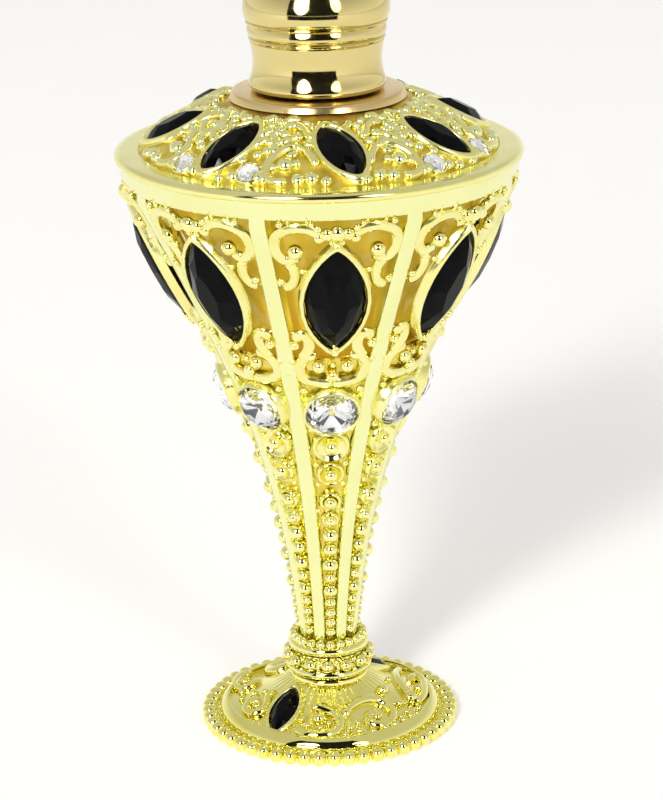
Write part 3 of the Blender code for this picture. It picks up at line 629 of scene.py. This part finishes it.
def makeConeStones():
    place, crystalPlace = (coneSeat(0, stone["z"], stone["girdle"]) for stone in (bigStone, bigCrystal))
    stoneShape, crystalShape = marquise(bigStone), brilliant(bigCrystal)
    walls = [placed(navetteSetting(bigStone), place), placed(roundSetting(bigCrystal), crystalPlace)]
    claws = []
    for k, (y, z, radius) in enumerate(claw["beads"]):
        bead = ball(radius, (claw["widths"][k % 2], 1.2, 0.8))
        claws.append(placed(bead, place @ Matrix.Translation((claw["sway"] * (-1) ** k, -y, z))))
    foils = [placed(foilCup(bigCrystal), crystalPlace)]
    count, first = cone["panels"], cone["turn"]
    for k in range(count):
        turn = turnZ(first + k * 360 / count)
        setStone(f"coneNavette{k + 1}", stoneShape, turn @ place, jet, f"body_stone_{k + 1}")
        setStone(f"coneCrystal{k + 1}", crystalShape, turn @ crystalPlace, crystal,
                 f"body_crystal_{k + 1}")
    cast("coneSettings", spun(walls, count, first), castGold, angle=55)
    cast("coneClaws", spun(claws, count, first), polishedGold)
    silver = make("coneFoils", spun(foils, count, first), silverFoil, "bottle", flat=True)
    # painted reflection: some facets are coloured near black, standing in for the dark side of the room
    # mirrored in the foil
    silver.data.materials.append(paintedReflectionFoil)
    for facet in silver.data.polygons:
        facet.material_index = int(facet.index % 7 in (1, 4) or facet.index % 11 == 3)


makeConeStones()
print("cone stones made")


# Shoulder: rim, dome, eight navettes and the filigree between them

shoulder = {
    "stones": 8, "turn": 8.5, "wireWidth": 1.15, "crownWidth": 1.05, "wireHeight": 1.1, "wireLift": 0.12,
    "beadGrowth": 1.12, "beadStretch": (1, 1, 0.86), "beadLift": 0.04, "petalHeight": 0.62,
    "flatWithin": 23.3, "domeSteps": 14, "domeSink": 0.12, "tipRoom": 0.8, "sideRoom": 0.45, "petalRoom": 0.4,
    "rim": [(23.6, 71.6), (23.72, 71.64), (23.9, 71.8), (23.98, 72), (23.98, 72.2), (23.9, 72.42),
            (23.75, 72.56), (23.5, 72.66), (23.2, 72.7), (22.4, 72.72), (21.5, 72.74), (21.15, 72.76),
            (21, 72.5), (21.3, 71.6)],
    "under": [
        (6.4, 78.35), (6.4, 77.25), (9.3, 77.25), (19.9, 71.75), (20.3, 70.1), (21.3, 70.1), (21.3, 71.6)],
}
# (offset from a stone's azimuth, radius), mirrored on its two sides; beads add their radius, petals their
# radius, length and twist; crown and crownBeads stand above the stone, not mirrored
hookSector = {
    "wires": [
        [(14.6, 16.5), (18, 15.95), (21.4, 16.3), (24.2, 17.1), (26.2, 18.2), (26.4, 19.4), (24.4, 20.3),
         (21.2, 20.6), (18.6, 20.4)],
        [(9.6, 18.6), (10.6, 17.6), (12.7, 16.7), (14.6, 16.5)],
        [(10, 14.9), (13, 14.2), (15, 13.2), (19, 12.5), (22.6, 12.8)],
        [(18, 11.5), (22.5, 11.4), (26.5, 11.5)],
        [(20.5, 14.3), (22.5, 15.2), (26, 15.7)],
    ],
    "beads": [
        (20.4, 18.4, 0.86), (24.5, 18.8, 0.5), (16.3, 18.2, 0.5), (15.4, 20.2, 0.72), (11, 20, 0.74),
        (28.4, 20.1, 0.66), (12.8, 15.5, 0.56), (18, 14.4, 0.62), (23.9, 14, 0.56), (27.4, 13.2, 0.6),
        (28.4, 16.7, 0.58), (11.2, 12.7, 0.55), (15, 11.9, 0.5), (30.4, 11.7, 0.5), (6.4, 20.4, 0.6),
        (31.2, 15, 0.5)],
    "petals": [
        (21.6, 12.1, 0.72, 1.6, 70), (20.2, 15.6, 0.7, 1.7, 35), (29.6, 14, 0.7, 1.5, 10),
        (12.6, 13.3, 0.62, 1.6, -40), (26.4, 15.2, 0.6, 1.5, -30), (25, 11.4, 0.6, 1.5, 90),
        (18.6, 16.9, 0.5, 1.5, 60)],
    "crown": [(-7, 12.25), (-4.6, 13), (0, 13.45), (4.6, 13), (7, 12.25)],
    "crownBeads": [(-7.6, 12.1, 0.46), (7.6, 12.1, 0.46), (0, 12, 0.42)],
}
crystalSector = {
    "wires": [
        [(9.8, 14.9), (12.5, 13.9), (15.5, 13.4)],
        [(10.4, 16.4), (12.6, 15.4), (15.4, 15.3), (16.8, 16)],
        [(6.5, 12.4), (9.5, 11.5), (13.5, 11.45)],
    ],
    "beads": [(8, 20.2, 0.66), (18.6, 20.2, 0.66), (3.6, 20.6, 0.55), (18.9, 18, 0.58), (8.6, 18.2, 0.5),
              (13.4, 17.3, 0.56), (12, 12.6, 0.52), (17.2, 13.8, 0.56), (16.3, 11.9, 0.5), (5.4, 11.7, 0.5)],
    "petals": [(14.8, 14.1, 0.7, 1.6, 40), (10.6, 13.6, 0.62, 1.6, -30), (18.4, 16, 0.66, 1.5, 10),
               (9, 11.6, 0.6, 1.6, 80)],
    "crownBeads": [(0, 11.6, 0.44), (-5, 12.1, 0.34), (5, 12.1, 0.34)],
}


def domeWire(path, width):
    places = [levelSeat(domeLevel, p.x, p.y, shoulder["wireLift"]) for p in curveThrough(path, 6)]
    return wire(places, width, shoulder["wireHeight"])


def clearOf(place, spot, room=0):
    # whether a bead stays off the setting of the shoulder stone at this place
    local = place.inverted() @ spot.translation
    long = shoulderStone["halfLength"] + room + shoulder["tipRoom"]
    wide = (shoulderStone["halfWidth"] + room) * (1 - (local.y / long) ** 2) + shoulder["sideRoom"]
    return abs(local.y) > long or abs(local.x) > wide


def sectorWires(sector, azimuth):
    made = [domeWire([(azimuth + side * a, r) for a, r in path], shoulder["wireWidth"])
            for side in (1, -1) for path in sector["wires"]]
    if "crown" in sector:
        made.append(domeWire([(azimuth + a, r) for a, r in sector["crown"]], shoulder["crownWidth"]))
    return made


def sectorBeads(sector, azimuth, stonePlace):
    made = []
    spots = [(side * a, r, radius) for side in (1, -1) for a, r, radius in sector["beads"]]
    for a, r, radius in spots + sector["crownBeads"]:
        spot = levelSeat(domeLevel, azimuth + a, r, radius * shoulder["beadLift"])
        if clearOf(stonePlace, spot):
            made.append(placed(ball(radius * shoulder["beadGrowth"], shoulder["beadStretch"]), spot))
    for side in (1, -1):
        for a, r, radius, reach, twist in sector["petals"]:
            spot = levelSeat(domeLevel, azimuth + side * a, r) @ turnZ(side * twist)
            if clearOf(stonePlace, spot, shoulder["petalRoom"]):
                made.append(placed(ball(radius, (1, reach, shoulder["petalHeight"])), spot))
    return made


def makeShoulder():
    rolled = cast("shoulderRim", [turned(shoulder["rim"], sides=192)], rolledGold)
    # the flat top is less polished than the rolled edge
    rolled.data.materials.append(castGold)
    for face in rolled.data.polygons:
        face.material_index = int(hypot(face.center.x, face.center.y) < shoulder["flatWithin"] * mm)
    surface = []
    steps = shoulder["domeSteps"]
    for k in range(steps + 1):
        radius = dome["rimInner"] + (dome["flange"] - dome["rimInner"]) * k / steps
        surface.append((radius, domeLevel(radius) - (shoulder["domeSink"] if 0 < k < steps else 0)))
    cast("shoulderDome", [turned(surface + shoulder["under"], sides=128)], groundShadeGold, ["shoulder"])

    wires, beads, walls, foils = [], [], [], []
    stoneShape, crystalShape = marquise(shoulderStone), brilliant(shoulderCrystal)
    number = 0
    for k in range(shoulder["stones"]):
        azimuth = shoulder["turn"] + k * 360 / shoulder["stones"]
        sector = crystalSector if k % 2 else hookSector
        place = stoneSeat(domeLevel, azimuth, shoulderStone, shoulderStone["skews"][k])
        wires += sectorWires(sector, azimuth)
        beads += sectorBeads(sector, azimuth, place)
        walls.append(placed(navetteSetting(shoulderStone), place))
        setStone(f"shoulderNavette{k + 1}", stoneShape, place, jet, f"shoulder_stone_{k + 1}")
        if sector is hookSector:
            continue
        for side in (-1, 1):
            number += 1
            place = stoneSeat(domeLevel, azimuth + side * shoulderCrystal["spread"], shoulderCrystal)
            walls.append(placed(roundSetting(shoulderCrystal, sides=24), place))
            foils.append(placed(foilCup(shoulderCrystal), place))
            setStone(f"shoulderCrystal{number}", crystalShape, place, crystal,
                     f"shoulder_crystal_{number}")
    cast("shoulderScrolls", wires, castGold)
    cast("shoulderBeads", beads, paleLitGold)
    cast("shoulderSettings", walls, castGold, angle=55)
    make("shoulderFoils", foils, whiteFoil, "bottle", flat=True)


makeShoulder()
print("shoulder made")


# Foot: beaded plate, polished ring, fluted floor and its relief, and the knop

foot = {
    "plate": [(2.9, 0), (15, 0), (15.15, 0.1), (15.15, 0.7), (14.9, 0.9), (14.4, 1), (13.7, 1), (13.35, 1),
              (13.1, 1.3), (12, 1.2), (2.9, 1)],
    "ring": [
        (13.76, 0.9), (13.76, 1.1), (13.71, 1.4), (13.6, 1.7), (13.43, 1.98), (13.22, 2.2), (12.99, 2.4),
        (12.8, 2.53), (12.64, 2.57), (12.5, 2.53), (12.42, 2.38), (12.4, 2.1), (12.35, 0.9)],
    "floorRows": 23, "floorStep": 0.35, "floorBack": [(4.4, 5.3), (3.6, 5.3), (3.6, 2), (12.4, 1.3)],
    "flutes": 44, "fluteDepth": 0.045, "fluteReach": 7.4, "outerFade": 1.6, "fluteFrom": 4.3, "innerFade": 0.3,
    "collar": [(4.4, 4.9), (4.55, 5.38), (4.82, 5.5), (4.9, 5.85), (4.78, 6.15), (4.5, 6.28), (1.7, 6.28),
               (1.7, 4.9)],
    "beads": 53, "beadRing": 14.88, "beadRadius": 0.86, "beadLevel": 0.92, "beadReach": 1.19,
    "beadRise": 0.76,
}
# (path, width): across, forward in the plane; what is in shared is also there turned half round
footRelief = {
    "wireLift": 0.15, "wireHeight": 1.1, "beadLift": 0.4,
    "sharedWires": [
        ([(-2.2, -6.9), (-1, -7.3), (0.7, -8.3), (1.15, -9.8), (0.4, -11.2), (-1.2, -11.7), (-3.1, -11.2),
          (-4, -10.3)], 1.55),
        ([(1.8, -8.6), (2.3, -7.2), (4.2, -5.6), (6.2, -5), (7.5, -6.2), (7.4, -8.2), (6, -9.4), (4.7, -8.9),
          (4.7, -7.8), (5.8, -7.2)], 1.3),
    ],
    "loneWires": [
        ([(9.05, 7.6), (8.4, 5), (8.4, 2.5), (9.05, -0.2), (9.9, -2.1), (11, -2.4), (11.75, -0.1), (11.8, 3),
          (11.4, 4.8), (10.6, 4.9), (10, 3.2)], 1.25),
        ([(-6.6, -2.2), (-7.4, -3.2), (-7.7, -4.7), (-8.8, -5.5), (-10, -5), (-10.3, -3.6), (-9.4, -2.5),
          (-8.6, -3.2)], 1.2),
        ([(-8.6, 3.6), (-9.8, 2.2), (-11.2, 2.4), (-11.9, 4.2), (-11.2, 6.4), (-9.8, 7.6)], 1.1),
        ([(-4.6, -11.1), (-6.4, -10.3), (-8.4, -8.7), (-10.2, -6.4)], 0.6),
        ([(7.3, -9.9), (8.6, -9), (9.9, -7.5), (10.8, -5.9)], 0.5),
        ([(7.9, -4.6), (8.9, -4), (9.6, -3.2)], 0.8),
    ],
    "sharedBeads": [
        (-1.3, -8.9, 0.85), (-2.7, -9.7, 0.55), (-1.2, -10.3, 0.5), (-0.1, -9.6, 0.4), (-3.4, -8.6, 0.42),
        (2.4, -10.3, 0.5), (3.6, -10.8, 0.46), (5.2, -10.7, 0.5), (1.9, -11.6, 0.42)],
    "loneBeads": [
        (6.4, -3, 0.8), (5.7, -7.9, 0.6), (9.9, -2.3, 0.9), (8.5, -4.3, 0.5), (9.4, -5.6, 0.42),
        (11, 1.2, 0.6), (7.3, 0.8, 0.42), (-8.9, -4, 0.6), (-9.3, -0.8, 0.62), (-7.9, -1.4, 0.46),
        (-10.9, -0.9, 0.42), (-10.9, 1, 0.46), (-10.6, 4.4, 0.62), (6.7, -9.8, 0.5), (7.9, -8.9, 0.46),
        (9, -7.7, 0.5), (9.9, -6.4, 0.42), (8.7, -6.9, 0.36), (4.1, -11.5, 0.36), (5.9, -10.9, 0.34),
        (10.9, -4.4, 0.45), (3.4, -9.3, 0.4), (2.9, -11.6, 0.34)],
}
knop = {
    "core": [(1.7, 6.5), (4.6, 6.52), (5.1, 6.6), (5.28, 6.85), (5.28, 7.15), (5.1, 7.38), (4.7, 7.45),
             (4.5, 7.6), (4.55, 8.6), (4.5, 9.18), (1.7, 9.18)],
    # (radius, distance from the axis, z); the small ones stand between the large
    "beads": 14, "turn": -1.5, "large": (0.88, 4.93, 8.32), "small": [(0.33, 5.18, 7.6), (0.3, 4.93, 8.82)],
}


def pillar():
    # upright post with a round top, as the edge of the foot is cast
    radius, high, rise = foot["beadRadius"], foot["beadLevel"], foot["beadRise"]
    rows = [(radius * 0.84, 0.04), (radius * 0.92, 0.16), (radius * 0.96, 0.39)]
    rows += [(radius * cos(pi / 2 * k / 8), high + rise * sin(pi / 2 * k / 8)) for k in range(8)]
    return loft([circle(r, z, 18, 0, r * foot["beadReach"]) for r, z in rows + [(0.02, high + rise)]])


def fluteWave(angle, radius):
    # the flutes fade out at both ends
    outer = (foot["fluteReach"] - radius) / foot["outerFade"]
    inner = (radius - foot["fluteFrom"]) / foot["innerFade"]
    share = min(max(outer, 0), 1) * min(max(inner, 0), 1)
    return foot["fluteDepth"] * share * cos(foot["flutes"] * angle)


def makeFoot():
    cast("footPlate", [turned(foot["plate"], sides=212)], castGold, ["foot"])
    cast("footRing", [turned(foot["ring"], sides=192)], deepGold)
    radii = [dish["lip"] - foot["floorStep"] * k for k in range(foot["floorRows"])]
    floor = [(12.55, 1.5), *[(radius, dishLevel(radius)) for radius in radii], *foot["floorBack"]]
    cast("footFloor", [turned(floor, sides=352, wave=fluteWave)], drawnGold)
    cast("footCollar", [turned(foot["collar"], sides=128)], polishedGold)

    post = placed(pillar(), Matrix.Translation((0, -foot["beadRing"], 0)))
    beads, wires, walls = spun([post], foot["beads"], 1.5), [], []
    stoneShape = marquise(footStone)
    for number, (azimuth, half) in enumerate(zip(footStone["azimuths"], (1, -1)), 1):
        place = stoneSeat(dishLevel, azimuth, footStone, footStone["skew"])
        walls.append(placed(navetteSetting(footStone), place))
        setStone(f"footNavette{number}", stoneShape, place, jet, f"foot_stone_{number}")
        for path, width in footRelief["sharedWires"] + (footRelief["loneWires"] if half > 0 else []):
            path = curveThrough([(half * x, half * y) for x, y in path])
            track = [dishAt(p.x, p.y, footRelief["wireLift"]) for p in path]
            wires.append(wire(track, width, width * footRelief["wireHeight"]))
        for x, y, radius in footRelief["sharedBeads"] + (footRelief["loneBeads"] if half > 0 else []):
            beads.append(placed(ball(radius), dishAt(half * x, half * y, radius * footRelief["beadLift"])))
    cast("footBeads", beads, deepGold)
    cast("footScrolls", wires, deepGold)
    cast("footSettings", walls, castGold, angle=55)


def makeKnop():
    cast("knopCore", [turned(knop["core"], sides=112)], polishedGold, ["stem_knop"])
    radius, away, z = knop["large"]
    group = [placed(ball(radius, (0.95, 0.9, 1)), seat(0, away, z, 0))]
    group += [placed(ball(radius), seat(pi / knop["beads"], away, z, 0)) for radius, away, z in knop["small"]]
    cast("knopBeads", spun(group, knop["beads"], knop["turn"]), polishedGold)


makeFoot()
makeKnop()
print("foot made")


# Neck, vial, stopper, cap and screw

flange = [
    (5.8, 78.56), (10.25, 78.56), (10.38, 78.6), (10.34, 78.72), (10.26, 78.92), (10.16, 79.15),
    (10.07, 79.31), (9.95, 79.41), (9.7, 79.45), (6.3, 79.45), (6.2, 79.6), (6.2, 84.3), (6.1, 84.42),
    (5.8, 84.43)]
# gap is to the cone's outside; above the shoulder's height the glass curves in to the neck and the bore
vial = {
    "gap": 3.6, "wall": 1.2, "bottom": 36.62, "from": 37.3, "innerFrom": 38.9, "steps": 16, "arcSteps": 8,
    "shoulder": 68.8, "neck": 5.6, "rise": 5.2, "bore": 4.4, "innerRise": 4,
    "lip": [(5.6, 74), (5.6, 84.65), (6, 84.7), (6, 85.8), (5.9, 85.85), (4.5, 85.85), (4.4, 85.75),
            (4.4, 72.85)],
}
screw = {
    "head": [(0.01, 0.9), (1.3, 0.9), (1.35, 0.42), (2.3, 0.42), (2.65, 0.6), (2.68, 1.2), (2.55, 1.68),
             (1.5, 1.7)],
    "threads": (2.2, 17.6), "pitch": 0.6, "crest": 1.5, "root": 1.34, "end": [(1.3, 18.2), (0.01, 18.38)],
}
stopper = {
    "washer": [(4.42, 86.07), (5.95, 86.07), (6, 86.2), (6, 86.6), (5.95, 86.74), (4.42, 86.74)],
    "plug": [
        (1.12, 80.17), (3.7, 80.17), (4.05, 80.4), (4.12, 81), (4.2, 81.15), (4.2, 81.5), (4.08, 81.7),
        (4.08, 83), (4.2, 83.2), (4.2, 83.6), (4.08, 83.8), (4.1, 86.9), (6.15, 86.96), (6.24, 87.05),
        (6.24, 87.85), (6.15, 87.94), (1.12, 87.94)],
    "rodTip": 57.68, "rodRadius": 1.3, "rodTop": [(0.9, 87.6), (0.8, 87.72), (0.01, 87.73)],
}
cap = {
    "outside": [
        (7.4, 79.66), (7.66, 79.69), (7.84, 79.8), (7.96, 79.98), (8.02, 80.22), (8, 80.5), (7.93, 80.76),
        (7.84, 81), (7.75, 81.28), (7.67, 81.6), (7.605, 82), (7.56, 82.4), (7.54, 82.8), (7.54, 83.1),
        (7.555, 83.4), (7.59, 83.75), (7.645, 84.15), (7.72, 84.6), (7.81, 85.1), (7.85, 85.3),
        (7.76, 85.35), (7.78, 85.41), (7.94, 85.47), (8, 85.6), (7.96, 85.73), (7.82, 85.81), (7.84, 85.87),
        (7.97, 85.98), (8.08, 86.2), (8.14, 86.45), (8.145, 86.65), (8.11, 86.85), (8.05, 87.05), (8, 87.2),
        (7.98, 87.26), (8.05, 87.32), (8.24, 87.38), (8.31, 87.5), (8.27, 87.63), (8.13, 87.71),
        (8.16, 87.79), (8.33, 87.88), (8.45, 88.2), (8.54, 88.55), (8.575, 88.93), (8.56, 89.3),
        (8.53, 89.6), (8.48, 89.9), (8.41, 90.2), (8.28, 90.65), (8.11, 91.1), (7.95, 91.45), (7.92, 91.6),
        (7.98, 91.7), (8.3, 91.8), (8.42, 92.1), (8.36, 92.8), (8.22, 93.6), (7.96, 94.4), (7.5, 95.4),
        (6.8, 96.5), (5.9, 97.5), (4.9, 98.3), (4, 98.9), (3.5, 99.25), (3.4, 99.5), (3.46, 99.75),
        (3.43, 100.1), (3.2, 100.4), (1.3, 100.44)],
    "inside": [(1.3, 97.3), (0.01, 97.3), (0.01, 88.2), (6.3, 88.2), (6.45, 88), (6.45, 79.9), (6.6, 79.66)],
    "stem": [(0.01, 97.7), (1.08, 97.75), (1.1, 100.5), (1.7, 100.67), (2, 100.7), (2.15, 100.9),
             (2, 101.15), (1.75, 101.4), (1.8, 101.7)],
    "ballRadius": 3, "ballRise": 2.85, "ballZ": 104.1,
    "tip": [(0.85, 107), (0.75, 107.3), (0.6, 107.65), (0.3, 107.82), (0.01, 107.84)],
}


def vialOutline():
    v = vial

    def side(start, gap):
        heights = [start + (v["shoulder"] - start) * k / v["steps"] for k in range(v["steps"] + 1)]
        return [(coneRadius(z) - gap, z) for z in heights]

    def arc(radius, reach, rise):
        angles = [pi / 2 * k / v["arcSteps"] for k in range(1, v["arcSteps"])]
        return [(radius + reach * cos(a), v["shoulder"] + rise * sin(a)) for a in angles]

    base = coneRadius(36.6) - v["gap"]
    low = [(0.01, v["bottom"]), (base - 0.8, v["bottom"]), (base - 0.25, 36.8), (base, v["from"])]
    outer = side(v["from"], v["gap"])[1:]
    wide = outer[-1][0]
    outer += arc(v["neck"], wide - v["neck"], v["rise"])
    inner = arc(v["bore"], wide - v["wall"] - v["bore"], v["innerRise"])[::-1]
    inner += side(v["innerFrom"], v["gap"] + v["wall"])[::-1]
    return low + outer + v["lip"] + inner + [(coneRadius(38.4) - 5.4, 38.42), (0.01, 38.4)]


def makeNeck():
    make("neckFlange", [turned(flange, sides=144)], flangePlate, "bottle", ["neck_flange"])
    make("glassVial", [turned(vialOutline(), sides=96)], amberGlass, "bottle", ["glass_vial"])
    outline = list(screw["head"])
    z, top = screw["threads"]
    while z < top:
        outline += [(screw["crest"], z), (screw["root"], z + screw["pitch"] / 2)]
        z += screw["pitch"]
    make("footScrew", [turned(outline + screw["end"], 48, ring=False)], steel, "bottle",
         ["foot_screw"])


def makeStopper():
    make("sealWasher", [turned(stopper["washer"], sides=72)], foam, "stopper_lift",
         ["seal_washer"])
    make("stopperPlug", [turned(stopper["plug"], sides=72)], whitePlastic, "stopper",
         ["stopper_sleeve"])
    tip, radius = stopper["rodTip"], stopper["rodRadius"]
    rod = [(radius * sin(pi * k / 14), tip - radius * cos(pi * k / 14)) for k in range(1, 13)]
    rod = [(0.01, tip - radius), *rod, (0.95, tip + 1.15), (0.9, tip + 1.6), *stopper["rodTop"]]
    make("dabberRod", [turned(rod, 32, ring=False)], clearGlass, "stopper", ["dabber_rod"])
    make("capShell", [turned(cap["outside"] + cap["inside"], sides=160)], champagne, "stopper",
         ["cap_shell"], angle=30)
    turns = [pi * k / 16 - pi / 2 for k in range(2, 15)]
    bead = [(cap["ballRadius"] * cos(a), cap["ballZ"] + cap["ballRise"] * sin(a)) for a in turns]
    make("capFinial", [turned(cap["stem"] + bead + cap["tip"], sides=96, ring=False)], champagne, "stopper",
         ["cap_finial"])


makeNeck()
makeStopper()
print("neck, vial and stopper made")


# Floor, light and camera

studio = {
    "world": 0.68, "worldLow": (1, 0.995, 0.98), "worldHigh": (0.62, 0.61, 0.585), "horizon": (0.02, 0.45),
    "floor": (0.72, 0.715, 0.705), "floorGlow": 0.36, "floorReach": 8, "target": (0, 0, 0.05),
    "lamps": {
        "keyLamp": {"azimuth": -24, "height": 25, "distance": 3000, "size": (1150, 2300), "power": 38},
        "keyCore": {"azimuth": -22, "height": 32, "distance": 2900, "size": (390, 560), "power": 40},
        "fillLamp": {"azimuth": 32, "height": 25, "distance": 3000, "size": (800, 1800), "power": 10},
        "fillCore": {"azimuth": 31, "height": 28, "distance": 2900, "size": (240, 330), "power": 9},
    },
    # dark cards, the room's unlit side, seen in the plating only: each between two rings (radius, height)
    "cards": [{"azimuth": -6, "span": 40, "rings": [(4000, 100), (2000, 3450)]},
              {"azimuth": -6, "span": 38, "rings": [(165, 53), (165, 87)]}],
}
view = {"pitch": 0.3219, "yaw": 0.003, "roll": -0.0185, "place": (-0.05, -326.5, 150), "lens": 128.49}


def sceneMesh(name, points, faces, material):
    mesh = bpy.data.meshes.new(name)
    mesh.from_pydata(points, [], faces)
    mesh.materials.append(material)
    return linked(name, mesh)


def seenRays(tree):
    # 1 for what the camera sees, straight, mirrored or through glass
    path = tree.nodes.new("ShaderNodeLightPath")
    seen = path.outputs["Is Camera Ray"]
    for kind in ("Is Glossy Ray", "Is Transmission Ray"):
        larger = tree.nodes.new("ShaderNodeMath")
        larger.operation = "MAXIMUM"
        tree.links.new(seen, larger.inputs[0])
        tree.links.new(path.outputs[kind], larger.inputs[1])
        seen = larger.outputs[0]
    return path, seen


def makeWorld():
    world = bpy.data.worlds.new("studio")
    world.use_nodes = True
    bpy.context.scene.world = world
    tree = world.node_tree
    background = tree.nodes["Background"]
    coords = tree.nodes.new("ShaderNodeTexCoord")
    split = tree.nodes.new("ShaderNodeSeparateXYZ")
    tree.links.new(coords.outputs["Generated"], split.inputs["Vector"])
    colours = studio["worldLow"], studio["worldHigh"]
    shade = blendColours(tree, split.outputs["Z"], *colours, *studio["horizon"])
    path, seen = seenRays(tree)
    mix = tree.nodes.new("ShaderNodeMix")
    mix.data_type = "RGBA"
    tree.links.new(path.outputs["Is Camera Ray"], mix.inputs["Factor"])
    tree.links.new(shade, mix.inputs["A"])
    mix.inputs["B"].default_value = (1, 1, 1, 1)
    tree.links.new(mix.outputs["Result"], background.inputs["Color"])
    tree.links.new(between(tree, seen, studio["world"], 1, 0, 1), background.inputs["Strength"])


def makeLamp(name, lamp):
    light = bpy.data.lights.new(name, "AREA")
    light.shape = "ELLIPSE"
    light.size, light.size_y = lamp["size"][0] * mm, lamp["size"][1] * mm
    light.energy = lamp["power"]
    light.color = (1, 0.985, 0.95)
    made = linked(name, light)
    made.visible_camera = False
    a, h = radians(lamp["azimuth"]), radians(lamp["height"])
    away = Vector((sin(a) * cos(h), -cos(a) * cos(h), sin(h))) * lamp["distance"] * mm
    made.location = away + Vector(studio["target"])
    made.rotation_mode = "QUATERNION"
    made.rotation_quaternion = (-away).to_track_quat("-Z", "Y")


def makeCard(number, card):
    material, tree, shader = newMaterial("dark card")
    tree.links.new(blendColours(tree, noise(tree, 8, 2), (0.004, 0.004, 0.004), (0.012, 0.011, 0.01)),
                   shader.inputs["Base Color"])
    setInputs(shader, {"Roughness": 1})
    (near, low), (far, high) = card["rings"]
    points, faces = [], []
    steps, rows = 24, 8
    for i in range(rows + 1):
        radius, z = (near + (far - near) * i / rows) * mm, (low + (high - low) * i / rows) * mm
        for j in range(steps + 1):
            a = radians(card["azimuth"] - card["span"] + 2 * card["span"] * j / steps)
            points.append((sin(a) * radius, -cos(a) * radius, z))
            if i and j:
                k = i * (steps + 1) + j
                faces.append((k - steps - 2, k - steps - 1, k, k - 1))
    made = sceneMesh(f"darkCard{number}", points, faces, material)
    made.visible_camera = made.visible_diffuse = made.visible_shadow = made.visible_transmission = False


def makeFloor():
    material, tree, shader = newMaterial("pale floor")
    low = tuple(c * 0.99 for c in studio["floor"])
    tree.links.new(blendColours(tree, noise(tree, 30), low, studio["floor"]), shader.inputs["Base Color"])
    setInputs(shader, {"Roughness": 0.9, "Specular IOR Level": 0.1, "Emission Color": (1, 0.995, 0.985, 1)})
    glow = between(tree, seenRays(tree)[1], 0, studio["floorGlow"], 0, 1)
    tree.links.new(glow, shader.inputs["Emission Strength"])
    reach = studio["floorReach"]
    corners = [(-reach, -reach, 0), (reach, -reach, 0), (reach, reach, 0), (-reach, reach, 0)]
    sceneMesh("floor", corners, [(0, 1, 2, 3)], material)


def makeCamera():
    pitch, yaw, roll = view["pitch"], view["yaw"], view["roll"]
    forward = Vector((sin(yaw) * cos(pitch), cos(yaw) * cos(pitch), -sin(pitch)))
    right = Vector((cos(yaw), -sin(yaw), 0))
    upward = right.cross(forward)
    rolledRight = right * cos(roll) + upward * sin(roll)
    rolledUp = upward * cos(roll) - right * sin(roll)
    camera = bpy.data.cameras.new("camera")
    camera.sensor_width = 36
    camera.lens = view["lens"]
    camera.clip_start, camera.clip_end = 0.01, 50
    made = linked("camera", camera)
    place = Matrix((rolledRight, rolledUp, -forward)).transposed().to_4x4()
    place.translation = Vector(view["place"]) * mm
    made.matrix_world = place
    bpy.context.scene.camera = made


makeWorld()
for name, item in studio["lamps"].items():
    makeLamp(name, item)
for number, item in enumerate(studio["cards"], 1):
    makeCard(number, item)
makeFloor()
makeCamera()
bpy.context.scene.view_settings.view_transform = "Standard"
print("studio made")
